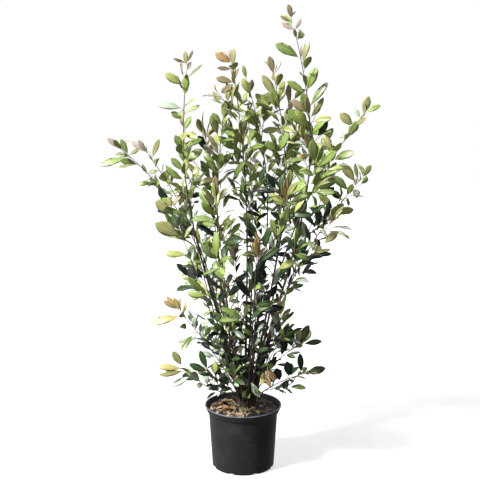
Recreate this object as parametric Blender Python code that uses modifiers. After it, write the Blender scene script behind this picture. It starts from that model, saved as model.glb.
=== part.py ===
"""Photinia shrub in a black nursery pot, as a trunk, boughs and masses of foliage.

Metres, +Z up. The origin is the centre of the pot's flat underside. The front of
the plant faces -Y, and +X is to the right of someone who looks at its front.
"""
import math
import random
from collections import namedtuple

import bmesh
import bpy
from mathutils import Matrix, Vector
from mathutils.bvhtree import BVHTree
from mathutils.geometry import intersect_point_line

# Pot
POT_HEIGHT = 0.295
POT_FOOT_RADIUS = 0.145
POT_NECK_RADIUS = 0.162
POT_WALL = 0.003
POT_FLOOR = 0.004
POT_FOOT_BEVEL = 0.003
POT_SIDES = 36
RIM_RADIUS = 0.180
RIM_HEIGHT = 0.025
RIM_ROUNDING = 0.006
NOTCH_COUNT = 8
NOTCH_RADIUS = 0.011
NOTCH_DEPTH = 0.030
NOTCH_SIDES = 10

# Soil, which fills the pot to a little under its rim
SOIL_TOP = 0.281
SOIL_FALL = 0.010
SOIL_FLAT_RADIUS = 0.100
SOIL_LIP = 0.012
SOIL_LIP_FALL = 0.004

# Touching solids keep this much air, and leaves keep more
GAP = 0.0003
LEAF_CLEARANCE = 0.0012

# Trunk: a woody crown at the soil, from which every shoot rises
CROWN_CENTRE = Vector((0.018, 0.035, 0.0))
CROWN_FLARE = 0.058
CROWN_TOP_RADIUS = 0.022
CROWN_HEIGHT = 0.075
CROWN_SIDES = 14
CROWN_SUNK = 0.020
FOOT_SPREAD = 0.031
FOOT_LEAST_SPREAD = 0.35
FOOT_LEAN_REACH = 0.30
FOOT_RISE = 0.35
FOOT_FLARE = 1.7
FOOT_FLARE_LENGTH = 0.05
STUB_LENGTH = 0.140
LOW_STUB_LENGTH = 0.100
LOW_FOOT_RAISED = 0.020

# Limbs
LIMB_SIDES = 6
TWIG_SIDES = 3
STUB_SIDES = 5
LIMB_STEP = 0.115
TIP_RADIUS = 0.0016
TAPER = 0.85
WOOD_SHARP = 50

# Leaves: an elliptic blade, folded a little along its midrib
LEAF_LENGTH = 0.120
LEAF_HALF_WIDTH = 0.44 / 2
LEAF_WIDEST = 0.54
LEAF_FOLD = 0.045
LEAF_HALF_THICKNESS = 0.012
LEAF_SIZES = (0.82, 1.08)
LEAF_SINK = 0.0006
TIP_SINK = 0.004
TIP_LEAF_SHARE = 0.9

# Which way blades turn their upper faces: up, out of the crown and towards the sun
SUNWARD = Vector((-0.50, -0.72, 0.48))
CROWN_REACH = 0.30
FACE_UP = 0.45
FACE_OUT = 0.60
FACE_SUN = 0.55

# Growth: leaves turn round the stem by this angle from each to the next
GOLDEN_TURN = math.radians(137.5)
LEAF_STEP = 0.070
LOW_LEAF_STEP = 0.052
FIRST_LEAF = 0.6
LEAF_ANGLE = math.radians(52)
LEAF_ROLL = 0.5
LEAF_TRIES = 4
LEAF_TRY_TURN = 0.45
TWIG_EVERY = 3
TWIG_ANGLE = math.radians(44)
TWIG_RISE = 0.30
TWIG_RADIUS = 0.0021
TWIG_TAPER = (1.0, 0.85, 0.7)
TWIG_SIZES = (0.8, 1.2)
TWIG_LEAVES = (0.42, 0.74)
TWIGLESS_TIP = 2
MASS_REACH = 0.21
MOST_SCRAPS = 0.2
SEED = 7

# One line for each shoot: where it bends, where its last leaf ends, its radius at the
# foot, the share of its length that is a bare bough, and the length of its side twigs
Shoot = namedtuple("Shoot", "name bend tip radius bare twig")

TALL_SHOOTS = (
    Shoot("left_tall", (-0.262, -0.080, 1.475), (-0.236, -0.100, 1.922), 0.0070, 0.45, 0.10),
    Shoot("left_outer", (-0.215, -0.110, 0.950), (-0.330, -0.170, 1.290), 0.0055, 0.50, 0.10),
    Shoot("left_inner", (-0.112, 0.030, 0.950), (-0.077, 0.000, 1.720), 0.0065, 0.50, 0.12),
    Shoot("left_long", (-0.327, 0.000, 1.313), (-0.471, -0.040, 1.530), 0.0060, 0.58, 0.11),
    Shoot("left_high", (-0.385, 0.095, 1.308), (-0.634, 0.070, 1.543), 0.0060, 0.58, 0.11),
    Shoot("centre_left", (-0.002, 0.000, 1.484), (-0.059, -0.030, 1.933), 0.0070, 0.52, 0.13),
    Shoot("centre", (0.091, 0.110, 1.478), (-0.010, 0.100, 1.875), 0.0070, 0.52, 0.13),
    Shoot("centre_right", (0.180, 0.055, 1.562), (0.114, 0.050, 1.908), 0.0065, 0.55, 0.12),
    Shoot("tallest", (0.293, -0.030, 1.620), (0.193, -0.030, 2.106), 0.0085, 0.52, 0.12),
    Shoot("right_long", (0.282, -0.130, 1.273), (0.565, -0.180, 1.713), 0.0070, 0.52, 0.11),
    Shoot("right_low", (0.250, 0.030, 0.930), (0.600, 0.000, 1.430), 0.0060, 0.45, 0.11),
    Shoot("right_side", (0.251, -0.064, 0.948), (0.415, -0.100, 1.122), 0.0045, 0.42, 0.09),
    Shoot("back_left", (-0.130, 0.240, 1.050), (-0.190, 0.360, 1.640), 0.0060, 0.48, 0.13),
    Shoot("back", (0.045, 0.250, 1.100), (0.020, 0.400, 1.740), 0.0060, 0.48, 0.13),
    Shoot("back_right", (0.185, 0.250, 1.050), (0.290, 0.370, 1.620), 0.0060, 0.48, 0.13),
    Shoot("left_back", (-0.174, 0.170, 0.814), (-0.287, 0.290, 1.259), 0.0055, 0.45, 0.11),
    Shoot("right_back", (0.245, 0.170, 0.900), (0.440, 0.260, 1.390), 0.0055, 0.45, 0.11),
    Shoot("front_left", (-0.080, -0.200, 0.900), (-0.115, -0.375, 1.400), 0.0055, 0.45, 0.12),
    Shoot("front_right", (0.125, -0.220, 0.920), (0.190, -0.370, 1.430), 0.0055, 0.45, 0.12),
    Shoot("front", (0.040, -0.245, 0.740), (0.055, -0.440, 1.170), 0.0050, 0.45, 0.12),
    Shoot("middle", (-0.020, 0.030, 0.700), (-0.045, 0.005, 1.100), 0.0045, 0.30, 0.10),
)

LOW_SHOOTS = (
    Shoot("low_left_upper", (-0.208, -0.055, 0.655), (-0.352, -0.085, 0.828), 0.0036, 0.0, 0.08),
    Shoot("low_left", (-0.183, -0.040, 0.402), (-0.318, -0.060, 0.540), 0.0034, 0.0, 0.08),
    Shoot("low_left_front", (-0.125, -0.110, 0.455), (-0.235, -0.170, 0.590), 0.0034, 0.0, 0.08),
    Shoot("low_right", (0.212, -0.055, 0.437), (0.385, -0.090, 0.490), 0.0034, 0.0, 0.08),
    Shoot("low_right_upper", (0.185, 0.020, 0.521), (0.365, 0.030, 0.610), 0.0034, 0.0, 0.08),
    Shoot("low_front", (-0.034, -0.132, 0.430), (-0.050, -0.245, 0.580), 0.0034, 0.0, 0.08),
    Shoot("low_back_left", (-0.110, 0.160, 0.480), (-0.210, 0.255, 0.640), 0.0034, 0.0, 0.08),
    Shoot("low_back_right", (0.140, 0.170, 0.480), (0.235, 0.270, 0.630), 0.0034, 0.0, 0.08),
    Shoot("inner_left", (-0.060, -0.055, 0.560), (-0.100, -0.100, 0.860), 0.0040, 0.0, 0.10),
    Shoot("inner_front", (0.045, -0.080, 0.560), (0.060, -0.130, 0.890), 0.0040, 0.0, 0.10),
    Shoot("inner_right", (0.118, -0.085, 0.560), (0.195, -0.110, 0.860), 0.0040, 0.0, 0.10),
    Shoot("inner_back", (0.055, 0.120, 0.620), (0.075, 0.190, 0.980), 0.0040, 0.0, 0.10),
    Shoot("inner_back_left", (-0.060, 0.095, 0.600), (-0.110, 0.150, 0.880), 0.0040, 0.0, 0.10),
)

# Finishes: colour, roughness
POT_FINISH = ((0.018, 0.018, 0.020), 0.42)
SOIL_FINISH = ((0.045, 0.028, 0.018), 0.95)
BARK_FINISH = ((0.105, 0.070, 0.052), 0.80)
BOUGH_FINISH = ((0.120, 0.066, 0.055), 0.70)
OLD_LEAF = Vector((0.035, 0.085, 0.025))
YOUNG_LEAF = Vector((0.190, 0.260, 0.060))
OLD_LEAF_HEIGHT = 0.5
YOUNG_LEAF_HEIGHT = 1.9
LEAF_ROUGHNESS = 0.38

UP = Vector((0.0, 0.0, 1.0))

for old in list(bpy.data.objects):
    bpy.data.objects.remove(old, do_unlink=True)
for old in list(bpy.data.collections):
    bpy.data.collections.remove(old)

MODEL = bpy.data.collections.new("photinia_shrub")
HELPERS = bpy.data.collections.new("cutters_and_guides")
bpy.context.scene.collection.children.link(MODEL)
bpy.context.scene.collection.children.link(HELPERS)


def finish(name, colour, roughness):
    """A Principled material of the object's own."""
    material = bpy.data.materials.new(name + "_finish")
    material.use_nodes = True
    shader = material.node_tree.nodes["Principled BSDF"]
    shader.inputs["Base Color"].default_value = (*colour, 1.0)
    shader.inputs["Roughness"].default_value = roughness
    shader.inputs["Metallic"].default_value = 0.0
    material.diffuse_color = (*colour, 1.0)
    return material


def add(name, mesh, collection=MODEL):
    """An object for the mesh, in a collection."""
    body = bpy.data.objects.new(name, mesh)
    collection.objects.link(body)
    return body


def hide_helper(helper):
    """Keep a cutter or a guide out of the render."""
    helper.hide_render = True
    helper.display_type = "WIRE"


def evaluated_mesh(body):
    """The body's mesh with its modifiers or its curve worked out."""
    bpy.context.view_layer.update()
    graph = bpy.context.evaluated_depsgraph_get()
    return bpy.data.meshes.new_from_object(body.evaluated_get(graph))


def apply_modifiers(body):
    """Put the body's evaluated mesh in place of its modifiers."""
    mesh = evaluated_mesh(body)
    body.modifiers.clear()
    body.data = mesh


def turned(name, profile, steps):
    """A body of revolution round Z, from a closed profile that runs down its outer side."""
    mesh = bpy.data.meshes.new(name)
    count = len(profile)
    edges = [(i, (i + 1) % count) for i in range(count)]
    mesh.from_pydata([(r, 0.0, z) for r, z in profile], edges, [])
    body = add(name, mesh)
    screw = body.modifiers.new("turn", "SCREW")
    screw.steps = steps
    screw.render_steps = steps
    screw.use_merge_vertices = True
    screw.merge_threshold = 0.0001
    apply_modifiers(body)
    return body


def cone_mesh(name, low_radius, high_radius, depth, sides):
    """A closed cone or cylinder along Z, with its middle at the origin."""
    bm = bmesh.new()
    bmesh.ops.create_cone(bm, cap_ends=True, segments=sides, radius1=low_radius,
                          radius2=high_radius, depth=depth)
    mesh = bpy.data.meshes.new(name)
    bm.to_mesh(mesh)
    bm.free()
    return mesh


def shade_round(body, sharp_degrees=35):
    """Smooth shading, with edges sharper than the angle kept sharp."""
    body.data.shade_smooth()
    body.data.set_sharp_from_angle(angle=math.radians(sharp_degrees))


def cut(body, cutter):
    """Take the cutter's space out of the body."""
    modifier = body.modifiers.new("cut", "BOOLEAN")
    modifier.operation = "DIFFERENCE"
    modifier.object = cutter
    apply_modifiers(body)
    bpy.data.objects.remove(cutter, do_unlink=True)


def arc(centre_r, centre_z, radius, start, end, steps):
    """Points on an arc in a profile, with angles in degrees from +R towards +Z."""
    angles = [math.radians(start + (end - start) * i / steps) for i in range(steps + 1)]
    return [(centre_r + radius * math.cos(a), centre_z + radius * math.sin(a)) for a in angles]


def wall_radius(height):
    """The pot's outer radius at a height below its rim."""
    share = height / (POT_HEIGHT - RIM_HEIGHT)
    return POT_FOOT_RADIUS + (POT_NECK_RADIUS - POT_FOOT_RADIUS) * share


def build_pot():
    """A tapered tub with a rolled rim and drain notches round its foot."""
    rim_low = POT_HEIGHT - RIM_HEIGHT
    rolled = RIM_RADIUS - RIM_ROUNDING
    inner_top = POT_NECK_RADIUS - POT_WALL
    profile = arc(inner_top + RIM_ROUNDING, POT_HEIGHT - RIM_ROUNDING, RIM_ROUNDING, 180, 90, 2)
    profile += arc(rolled, POT_HEIGHT - RIM_ROUNDING, RIM_ROUNDING, 90, 0, 3)
    profile += arc(rolled, rim_low + RIM_ROUNDING, RIM_ROUNDING, 0, -90, 2)
    profile += [(wall_radius(rim_low), rim_low), (wall_radius(POT_FOOT_BEVEL), POT_FOOT_BEVEL)]
    profile += [(POT_FOOT_RADIUS - POT_FOOT_BEVEL, 0.0), (0.0, 0.0), (0.0, POT_FLOOR)]
    profile += [(wall_radius(POT_FLOOR) - POT_WALL, POT_FLOOR), (inner_top, rim_low)]
    body = turned("pot", profile, POT_SIDES)
    for i in range(NOTCH_COUNT):
        turn = 2 * math.pi * (i + 0.5) / NOTCH_COUNT
        outward = Vector((math.sin(turn), -math.cos(turn), 0.0))
        mesh = cone_mesh("notch", NOTCH_RADIUS, NOTCH_RADIUS, NOTCH_DEPTH, NOTCH_SIDES)
        cutter = add("notch", mesh, HELPERS)
        cutter.matrix_world = (Matrix.Translation(outward * POT_FOOT_RADIUS)
                               @ outward.to_track_quat("Z", "Y").to_matrix().to_4x4())
        hide_helper(cutter)
        cut(body, cutter)
    body.data.materials.append(finish("pot", *POT_FINISH))
    shade_round(body)
    return body


def build_soil():
    """The soil, level under the trunk and a little lower at the pot's wall."""
    low = POT_FLOOR + GAP
    edge = SOIL_TOP - SOIL_FALL
    shrink = POT_WALL + 2 * GAP
    profile = [(0.0, SOIL_TOP), (SOIL_FLAT_RADIUS, SOIL_TOP)]
    profile += [(wall_radius(edge) - shrink - SOIL_LIP, SOIL_TOP - SOIL_LIP_FALL)]
    profile += [(wall_radius(edge) - shrink, edge)]
    profile += [(wall_radius(low) - shrink, low), (0.0, low)]
    body = turned("soil", profile, POT_SIDES)
    body.data.materials.append(finish("soil", *SOIL_FINISH))
    shade_round(body)
    return body


class Line:
    """A run of straight stretches, read by distance along it."""

    def __init__(self, points):
        self.points = points
        self.marks = [0.0]
        for a, b in zip(points, points[1:]):
            self.marks.append(self.marks[-1] + (b - a).length)
        self.length = self.marks[-1]

    def stretch(self, distance):
        """The straight stretch that holds a distance, and the share along it."""
        for i in range(1, len(self.marks)):
            if distance <= self.marks[i]:
                break
        share = (distance - self.marks[i - 1]) / (self.marks[i] - self.marks[i - 1])
        return self.points[i - 1], self.points[i], share

    def at(self, distance):
        a, b, share = self.stretch(distance)
        return a.lerp(b, share)

    def heading(self, distance):
        a, b, share = self.stretch(distance)
        return (b - a).normalized()

    def gap_to(self, place):
        """How far a place is from the line."""
        gaps = []
        for a, b in zip(self.points, self.points[1:]):
            share = intersect_point_line(place, a, b)[1]
            gaps.append((a.lerp(b, min(1.0, max(0.0, share))) - place).length)
        return min(gaps)

    def joint(self, distance):
        """The middle of the stretch that holds a distance, where a limb may be parted."""
        for low, high in zip(self.marks, self.marks[1:]):
            if distance <= high:
                break
        return (low + high) / 2


def course_of(shoot):
    """A shoot's smooth run from its foot through its bend to its tip."""
    foot = foot_of(shoot)
    bend = Vector(shoot.bend)
    tip = Vector(shoot.tip)
    first = (bend - foot).length
    second = (tip - bend).length
    start = ((bend - foot) / first + FOOT_RISE * UP).normalized()
    middle = ((bend - foot) / first * second + (tip - bend) / second * first).normalized()
    end = (2 * (tip - bend) / second - middle).normalized()
    lower = cubic(foot, bend, start * first, middle * first)
    upper = cubic(bend, tip, middle * second, end * second)
    return Line(lower + upper[1:])


def cubic(a, b, leave, arrive):
    """Points about a limb step apart, on a cubic from a to b with the two tangents."""
    points = []
    steps = max(2, round((b - a).length / LIMB_STEP))
    for i in range(steps + 1):
        t = i / steps
        stay = 2 * t ** 3 - 3 * t ** 2 + 1
        points.append(a * stay + leave * (t ** 3 - 2 * t ** 2 + t)
                      + b * (1 - stay) + arrive * (t ** 3 - t ** 2))
    return points


def foot_of(shoot):
    """Where a shoot leaves the soil: the more it leans, the further from the middle."""
    bend = Vector(shoot.bend)
    away = Vector((bend.x, bend.y, 0.0)) - CROWN_CENTRE
    share = min(1.0, FOOT_LEAST_SPREAD + away.length / FOOT_LEAN_REACH)
    foot = CROWN_CENTRE + away.normalized() * FOOT_SPREAD * share
    foot.z = SOIL_TOP + (0.0 if shoot.bare else LOW_FOOT_RAISED)
    return foot


def limb_radius(shoot, course, distance):
    """A limb's radius, which tapers from its foot to its tip."""
    share = max(0.0, 1.0 - distance / course.length)
    return TIP_RADIUS + (shoot.radius - TIP_RADIUS) * share ** TAPER


def stub_end(shoot, course):
    """How far up a shoot its foot belongs to the trunk."""
    return course.joint(STUB_LENGTH if shoot.bare else LOW_STUB_LENGTH)


PROFILES = {}


def ring_profile(sides):
    """A unit ring with the given number of sides, which a limb is swept from."""
    if sides not in PROFILES:
        curve = bpy.data.curves.new("ring_" + str(sides), "CURVE")
        spline = curve.splines.new("POLY")
        spline.points.add(sides - 1)
        spline.use_cyclic_u = True
        for i in range(sides):
            turn = 2 * math.pi * i / sides
            spline.points[i].co = (math.cos(turn), math.sin(turn), 0.0, 1.0)
        ring = add("ring_" + str(sides), curve, HELPERS)
        hide_helper(ring)
        PROFILES[sides] = ring
    return PROFILES[sides]


def tube_mesh(name, points, radii, sides):
    """A tapering limb: a curve swept with a ring, made a mesh with its caps welded."""
    curve = bpy.data.curves.new(name, "CURVE")
    curve.dimensions = "3D"
    curve.bevel_mode = "OBJECT"
    curve.bevel_object = ring_profile(sides)
    curve.use_fill_caps = True
    spline = curve.splines.new("POLY")
    spline.points.add(len(points) - 1)
    for point, place, radius in zip(spline.points, points, radii):
        point.co = (*place, 1.0)
        point.radius = radius
    guide = add(name + "_guide", curve, HELPERS)
    mesh = evaluated_mesh(guide)
    bpy.data.objects.remove(guide, do_unlink=True)
    mesh.name = name
    bm = bmesh.new()
    bm.from_mesh(mesh)
    bmesh.ops.remove_doubles(bm, verts=bm.verts, dist=0.00001)
    bmesh.ops.recalc_face_normals(bm, faces=bm.faces)
    bm.to_mesh(mesh)
    bm.free()
    return mesh


def ring_distances(course, start, end):
    """Where the rings of a part of a limb are: at its ends, and where the course turns."""
    between = [mark for mark in course.marks if start + TIP_SINK < mark < end - TIP_SINK]
    return [start] + between + [end]


def limb_mesh(name, shoot, course, start, end, sides, flare=False):
    """The mesh of a part of a shoot."""
    distances = ring_distances(course, start, end)
    radii = [limb_radius(shoot, course, d) for d in distances]
    if flare:
        distances.insert(1, start + FOOT_FLARE_LENGTH)
        radii.insert(1, limb_radius(shoot, course, FOOT_FLARE_LENGTH))
        radii[0] *= FOOT_FLARE
    return tube_mesh(name, [course.at(d) for d in distances], radii, sides)


# Everything that a new leaf or twig must stay clear of: owner, box and surface
Solid = namedtuple("Solid", "owner low high surface")
SOLIDS = []


def solid_of(owner, points, polygons):
    """A solid's box and surface, to test others against."""
    low = Vector([min(p[i] for p in points) for i in range(3)])
    high = Vector([max(p[i] for p in points) for i in range(3)])
    return Solid(owner, low, high, BVHTree.FromPolygons(points, polygons))


def polygons_of(mesh):
    return [tuple(face.vertices) for face in mesh.polygons]


def register(owner, mesh, matrix=Matrix.Identity(4)):
    """Let later leaves and twigs know of this solid."""
    SOLIDS.append(solid_of(owner, [matrix @ v.co for v in mesh.vertices], polygons_of(mesh)))


def is_clear(owner, mesh, matrix=Matrix.Identity(4)):
    """True if the mesh, swollen by the leaf clearance, touches no one else's solid."""
    swollen = [matrix @ (v.co + v.normal * LEAF_CLEARANCE) for v in mesh.vertices]
    own = solid_of(owner, swollen, polygons_of(mesh))
    for other in SOLIDS:
        if other.owner == owner:
            continue
        if any(own.low[i] > other.high[i] or own.high[i] < other.low[i] for i in range(3)):
            continue
        if own.surface.overlap(other.surface):
            return False
    return True


def leaf_mesh(length):
    """A folded blade of eight faces, from its root at the origin to its tip on +X."""
    half = LEAF_HALF_WIDTH * length
    fold = LEAF_FOLD * length
    thick = LEAF_HALF_THICKNESS * length
    wide = LEAF_WIDEST * length
    outline = [(-LEAF_SINK, 0.0, 0.0), (wide, half, fold), (length, 0.0, 0.0), (wide, -half, fold)]
    top = len(outline)
    points = outline + [(wide, 0.0, thick), (wide, 0.0, -thick)]
    faces = []
    for i in range(top):
        after = (i + 1) % top
        faces.append((after, i, top))
        faces.append((i, after, top + 1))
    mesh = bpy.data.meshes.new("leaf")
    mesh.from_pydata(points, [], faces)
    return mesh


def level_across(heading):
    """A level direction square to the heading."""
    across = heading.cross(UP)
    if across.length < 0.05:
        across = Vector((1.0, 0.0, 0.0))
    return across.normalized()


def facing_at(place):
    """Which way the blades face at a place: up, out of the crown and towards the sun."""
    out = Vector((place.x - CROWN_CENTRE.x, place.y - CROWN_CENTRE.y, 0.0)) / CROWN_REACH
    if out.length > 1.0:
        out.normalize()
    return UP * FACE_UP + out * FACE_OUT + SUNWARD * FACE_SUN


def aim(place, direction, roll):
    """A frame at a place, with +X along the direction and +Z as near its facing as can be."""
    ahead = direction.normalized()
    side = facing_at(place).cross(ahead).normalized()
    above = ahead.cross(side)
    turned_frame = Matrix((ahead, side, above)).transposed().to_4x4()
    return Matrix.Translation(place) @ turned_frame @ Matrix.Rotation(roll, 4, "X")


def sideways(heading, turn):
    """A direction square to the heading, at an angle round it."""
    return Matrix.Rotation(turn, 3, heading) @ level_across(heading)


def outward(heading, turn, angle):
    """A direction that leaves the heading by an angle, at a turn round it."""
    return heading * math.cos(angle) + sideways(heading, turn) * math.sin(angle)


class Mass:
    """A mass of foliage: one stem with twigs and leaves, joined into one solid."""

    def __init__(self, shoot, course, start, luck):
        self.name = shoot.name + "_leaves"
        self.shoot = shoot
        self.luck = luck
        end = course.length - LEAF_LENGTH * TIP_LEAF_SHARE
        self.line = Line([course.at(d) for d in ring_distances(course, start, end)])
        self.parts = parts_collection(self.name + "_parts")
        self.stem = limb_mesh(self.name, shoot, course, start, end, TWIG_SIDES)
        register(self.name, self.stem)

    def add_leaf(self, place, direction):
        """Add one leaf if it is clear and in its space, turned a little further at each try."""
        length = LEAF_LENGTH * self.luck.uniform(*LEAF_SIZES)
        mesh = leaf_mesh(length)
        roll = self.luck.uniform(-LEAF_ROLL, LEAF_ROLL)
        for i in range(LEAF_TRIES):
            way = Matrix.Rotation(LEAF_TRY_TURN * i * (-1) ** i, 3, "Z") @ direction
            frame = aim(place, way, roll)
            in_space = self.line.gap_to(place + way * length) < MASS_REACH
            if in_space and is_clear(self.name, mesh, frame):
                leaf = add("leaf", mesh, self.parts)
                leaf.matrix_world = frame
                register(self.name, mesh, frame)
                return
        bpy.data.meshes.remove(mesh)

    def add_twig(self, place, direction, length):
        """Add a twig that bends upwards, with leaves along it and one at its tip."""
        bend = place + direction * length / 2
        tip = bend + (direction + TWIG_RISE * UP).normalized() * length / 2
        twig = Line([place, bend, tip])
        mesh = tube_mesh("twig", twig.points, [TWIG_RADIUS * share for share in TWIG_TAPER], TWIG_SIDES)
        if not is_clear(self.name, mesh):
            bpy.data.meshes.remove(mesh)
            return False
        add("twig", mesh, self.parts)
        register(self.name, mesh)
        turn = self.luck.uniform(0.0, 2 * math.pi)
        for share in TWIG_LEAVES:
            turn += GOLDEN_TURN
            distance = share * twig.length
            self.add_leaf(twig.at(distance), outward(twig.heading(distance), turn, LEAF_ANGLE))
        self.add_leaf(twig.at(twig.length - TIP_SINK), twig.heading(twig.length))
        return True

    def grow(self):
        """Leaves and twigs by turns up the stem, and a last leaf at its tip."""
        turn = self.luck.uniform(0.0, 2 * math.pi)
        step = LEAF_STEP if self.shoot.bare else LOW_LEAF_STEP
        count = int(self.line.length / step)
        for i in range(count):
            distance = (i + FIRST_LEAF) * step
            turn += GOLDEN_TURN
            place = self.line.at(distance)
            heading = self.line.heading(distance)
            if i % TWIG_EVERY == 0 and i < count - TWIGLESS_TIP:
                length = self.shoot.twig * self.luck.uniform(*TWIG_SIZES)
                if self.add_twig(place, outward(heading, turn, TWIG_ANGLE), length):
                    continue
            self.add_leaf(place, outward(heading, turn, LEAF_ANGLE))
        self.add_leaf(self.line.at(self.line.length - TIP_SINK), self.line.heading(self.line.length))

    def build(self):
        """Join the stem, the twigs and the leaves."""
        body = add(self.name, self.stem)
        join(body, self.parts)
        height = self.shoot.tip[2] - OLD_LEAF_HEIGHT
        share = min(1.0, max(0.0, height / (YOUNG_LEAF_HEIGHT - OLD_LEAF_HEIGHT)))
        body.data.materials.clear()
        body.data.materials.append(finish(self.name, OLD_LEAF.lerp(YOUNG_LEAF, share), LEAF_ROUGHNESS))


def parts_collection(name):
    """A collection for the solids that a union joins to a body."""
    parts = bpy.data.collections.new(name)
    bpy.context.scene.collection.children.link(parts)
    return parts


def join(body, parts):
    """One union of the body with the collection, by the simpler solver if the exact one fails."""
    for solver in ("EXACT", "MANIFOLD"):
        union = body.modifiers.new("join", "BOOLEAN")
        union.operation = "UNION"
        union.operand_type = "COLLECTION"
        union.collection = parts
        union.solver = solver
        mesh = evaluated_mesh(body)
        body.modifiers.clear()
        if keep_main_island(mesh):
            body.data = mesh
            break
    else:
        raise RuntimeError(body.name + " did not join")
    for part in list(parts.objects):
        bpy.data.objects.remove(part, do_unlink=True)
    bpy.data.collections.remove(parts)


def island_of(vertex, seen):
    """The vertices that edges join to this one."""
    island = [vertex]
    seen.add(vertex)
    for member in island:
        for edge in member.link_edges:
            other = edge.other_vert(member)
            if other not in seen:
                seen.add(other)
                island.append(other)
    return island


def keep_main_island(mesh):
    """Drop loose scraps and sealed hollows. True if what stays is one closed body."""
    bm = bmesh.new()
    bm.from_mesh(mesh)
    bmesh.ops.triangulate(bm, faces=bm.faces, ngon_method="EAR_CLIP")
    seen = set()
    islands = [island_of(vertex, seen) for vertex in bm.verts if vertex not in seen]
    islands.sort(key=len)
    main = islands.pop()
    scraps = [vertex for island in islands for vertex in island]
    bmesh.ops.delete(bm, geom=scraps, context="VERTS")
    closed = all(len(edge.link_faces) == 2 for edge in bm.edges)
    bm.to_mesh(mesh)
    bm.free()
    return closed and len(scraps) < MOST_SCRAPS * len(main)


def build_trunk(courses):
    """The woody crown: a flared boss on the soil with the foot of every shoot fused on."""
    depth = CROWN_HEIGHT + CROWN_SUNK
    mesh = cone_mesh("trunk", CROWN_FLARE, CROWN_TOP_RADIUS, depth, CROWN_SIDES)
    middle = CROWN_CENTRE + UP * (SOIL_TOP - CROWN_SUNK + depth / 2)
    mesh.transform(Matrix.Translation(middle))
    body = add("trunk", mesh)
    stubs = parts_collection("trunk_parts")
    for shoot, course in courses:
        stub = limb_mesh("stub", shoot, course, 0.0, stub_end(shoot, course), STUB_SIDES, flare=True)
        add("stub", stub, stubs)
    join(body, stubs)
    block = bpy.data.meshes.new("ground_cut")
    bm = bmesh.new()
    bmesh.ops.create_cube(bm, size=1.0)
    bm.to_mesh(block)
    bm.free()
    cutter = add("ground_cut", block, HELPERS)
    cutter.location = (0.0, 0.0, SOIL_TOP + GAP - 0.5)
    hide_helper(cutter)
    cut(body, cutter)
    register("trunk", body.data)
    body.data.materials.append(finish("trunk", *BARK_FINISH))
    shade_round(body, WOOD_SHARP)


def build_bough(shoot, course, start, end):
    """One tapering limb, from the trunk to where it enters its mass."""
    name = shoot.name + "_bough"
    bough = add(name, limb_mesh(name, shoot, course, start, end, LIMB_SIDES))
    bough.data.materials.append(finish(name, *BOUGH_FINISH))
    shade_round(bough, WOOD_SHARP)
    register(name, bough.data)


def main():
    for vessel in (build_pot(), build_soil()):
        register(vessel.name, vessel.data)
    courses = [(shoot, course_of(shoot)) for shoot in TALL_SHOOTS + LOW_SHOOTS]
    build_trunk(courses)
    masses = []
    for number, (shoot, course) in enumerate(courses):
        start = stub_end(shoot, course) + GAP
        if shoot.bare:
            end = course.joint(course.length * shoot.bare)
            build_bough(shoot, course, start, end)
            start = end + GAP
        masses.append(Mass(shoot, course, start, random.Random(SEED + number)))
    for mass in masses:
        mass.grow()
    for mass in masses:
        mass.build()


main()
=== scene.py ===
"""Looks of the potted photinia shrub: bark, twigs and leaves, the pot and its soil."""
import math
import random
from collections import namedtuple

import bmesh
import bpy
import numpy as np
from mathutils import Matrix, Vector, noise
from mathutils.bvhtree import BVHTree


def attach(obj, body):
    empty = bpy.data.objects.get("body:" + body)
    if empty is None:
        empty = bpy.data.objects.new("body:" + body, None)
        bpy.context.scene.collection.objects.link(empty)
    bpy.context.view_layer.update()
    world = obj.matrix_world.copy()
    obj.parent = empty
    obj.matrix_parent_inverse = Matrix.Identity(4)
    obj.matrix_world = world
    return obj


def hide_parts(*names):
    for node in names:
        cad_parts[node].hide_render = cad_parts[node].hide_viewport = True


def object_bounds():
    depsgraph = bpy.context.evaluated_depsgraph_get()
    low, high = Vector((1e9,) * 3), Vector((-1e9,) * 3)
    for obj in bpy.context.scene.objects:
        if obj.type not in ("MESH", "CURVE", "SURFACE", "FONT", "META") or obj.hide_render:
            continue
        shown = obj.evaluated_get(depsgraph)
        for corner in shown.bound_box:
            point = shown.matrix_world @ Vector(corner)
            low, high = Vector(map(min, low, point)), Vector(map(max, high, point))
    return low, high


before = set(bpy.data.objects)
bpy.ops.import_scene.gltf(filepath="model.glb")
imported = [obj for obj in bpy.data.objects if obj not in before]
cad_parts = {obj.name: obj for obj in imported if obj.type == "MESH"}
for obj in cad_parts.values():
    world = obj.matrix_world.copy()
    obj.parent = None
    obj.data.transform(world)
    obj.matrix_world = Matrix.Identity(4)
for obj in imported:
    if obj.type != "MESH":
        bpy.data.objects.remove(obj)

cad_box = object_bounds()

# Pot, as in the part's source
POT_HEIGHT = 0.295
POT_FOOT_RADIUS = 0.145
POT_NECK_RADIUS = 0.162
POT_WALL = 0.003
POT_FLOOR = 0.004
POT_FOOT_BEVEL = 0.006
RIM_RADIUS = 0.180
RIM_HEIGHT = 0.025
NOTCH_COUNT = 8
NOTCH_DEPTH = 0.030

# Its finer forms: a rim that tapers down to a ledge on the wall, and wider notches
POT_SIDES = 144
RIM_ROUNDING = 0.0035
RIM_LOW_RADIUS = 0.1695
RIM_STEP = 0.006
RIM_LEDGE = 0.0015
RIM_LOW = POT_HEIGHT - RIM_HEIGHT - RIM_STEP
RIM_EDGE = POT_HEIGHT - RIM_ROUNDING
RIM_ROWS = 6
WALL_ROWS = 12
WALL_TOP = 0.004
WALL_FOOT = 0.020
NOTCH_RADIUS = 0.014
NOTCH_SIDES = 28
# How far below the rim's top its painted bluish highlight starts, and where it is full
RIM_HIGHLIGHT_BAND = (0.0032, 0.0008)

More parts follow.
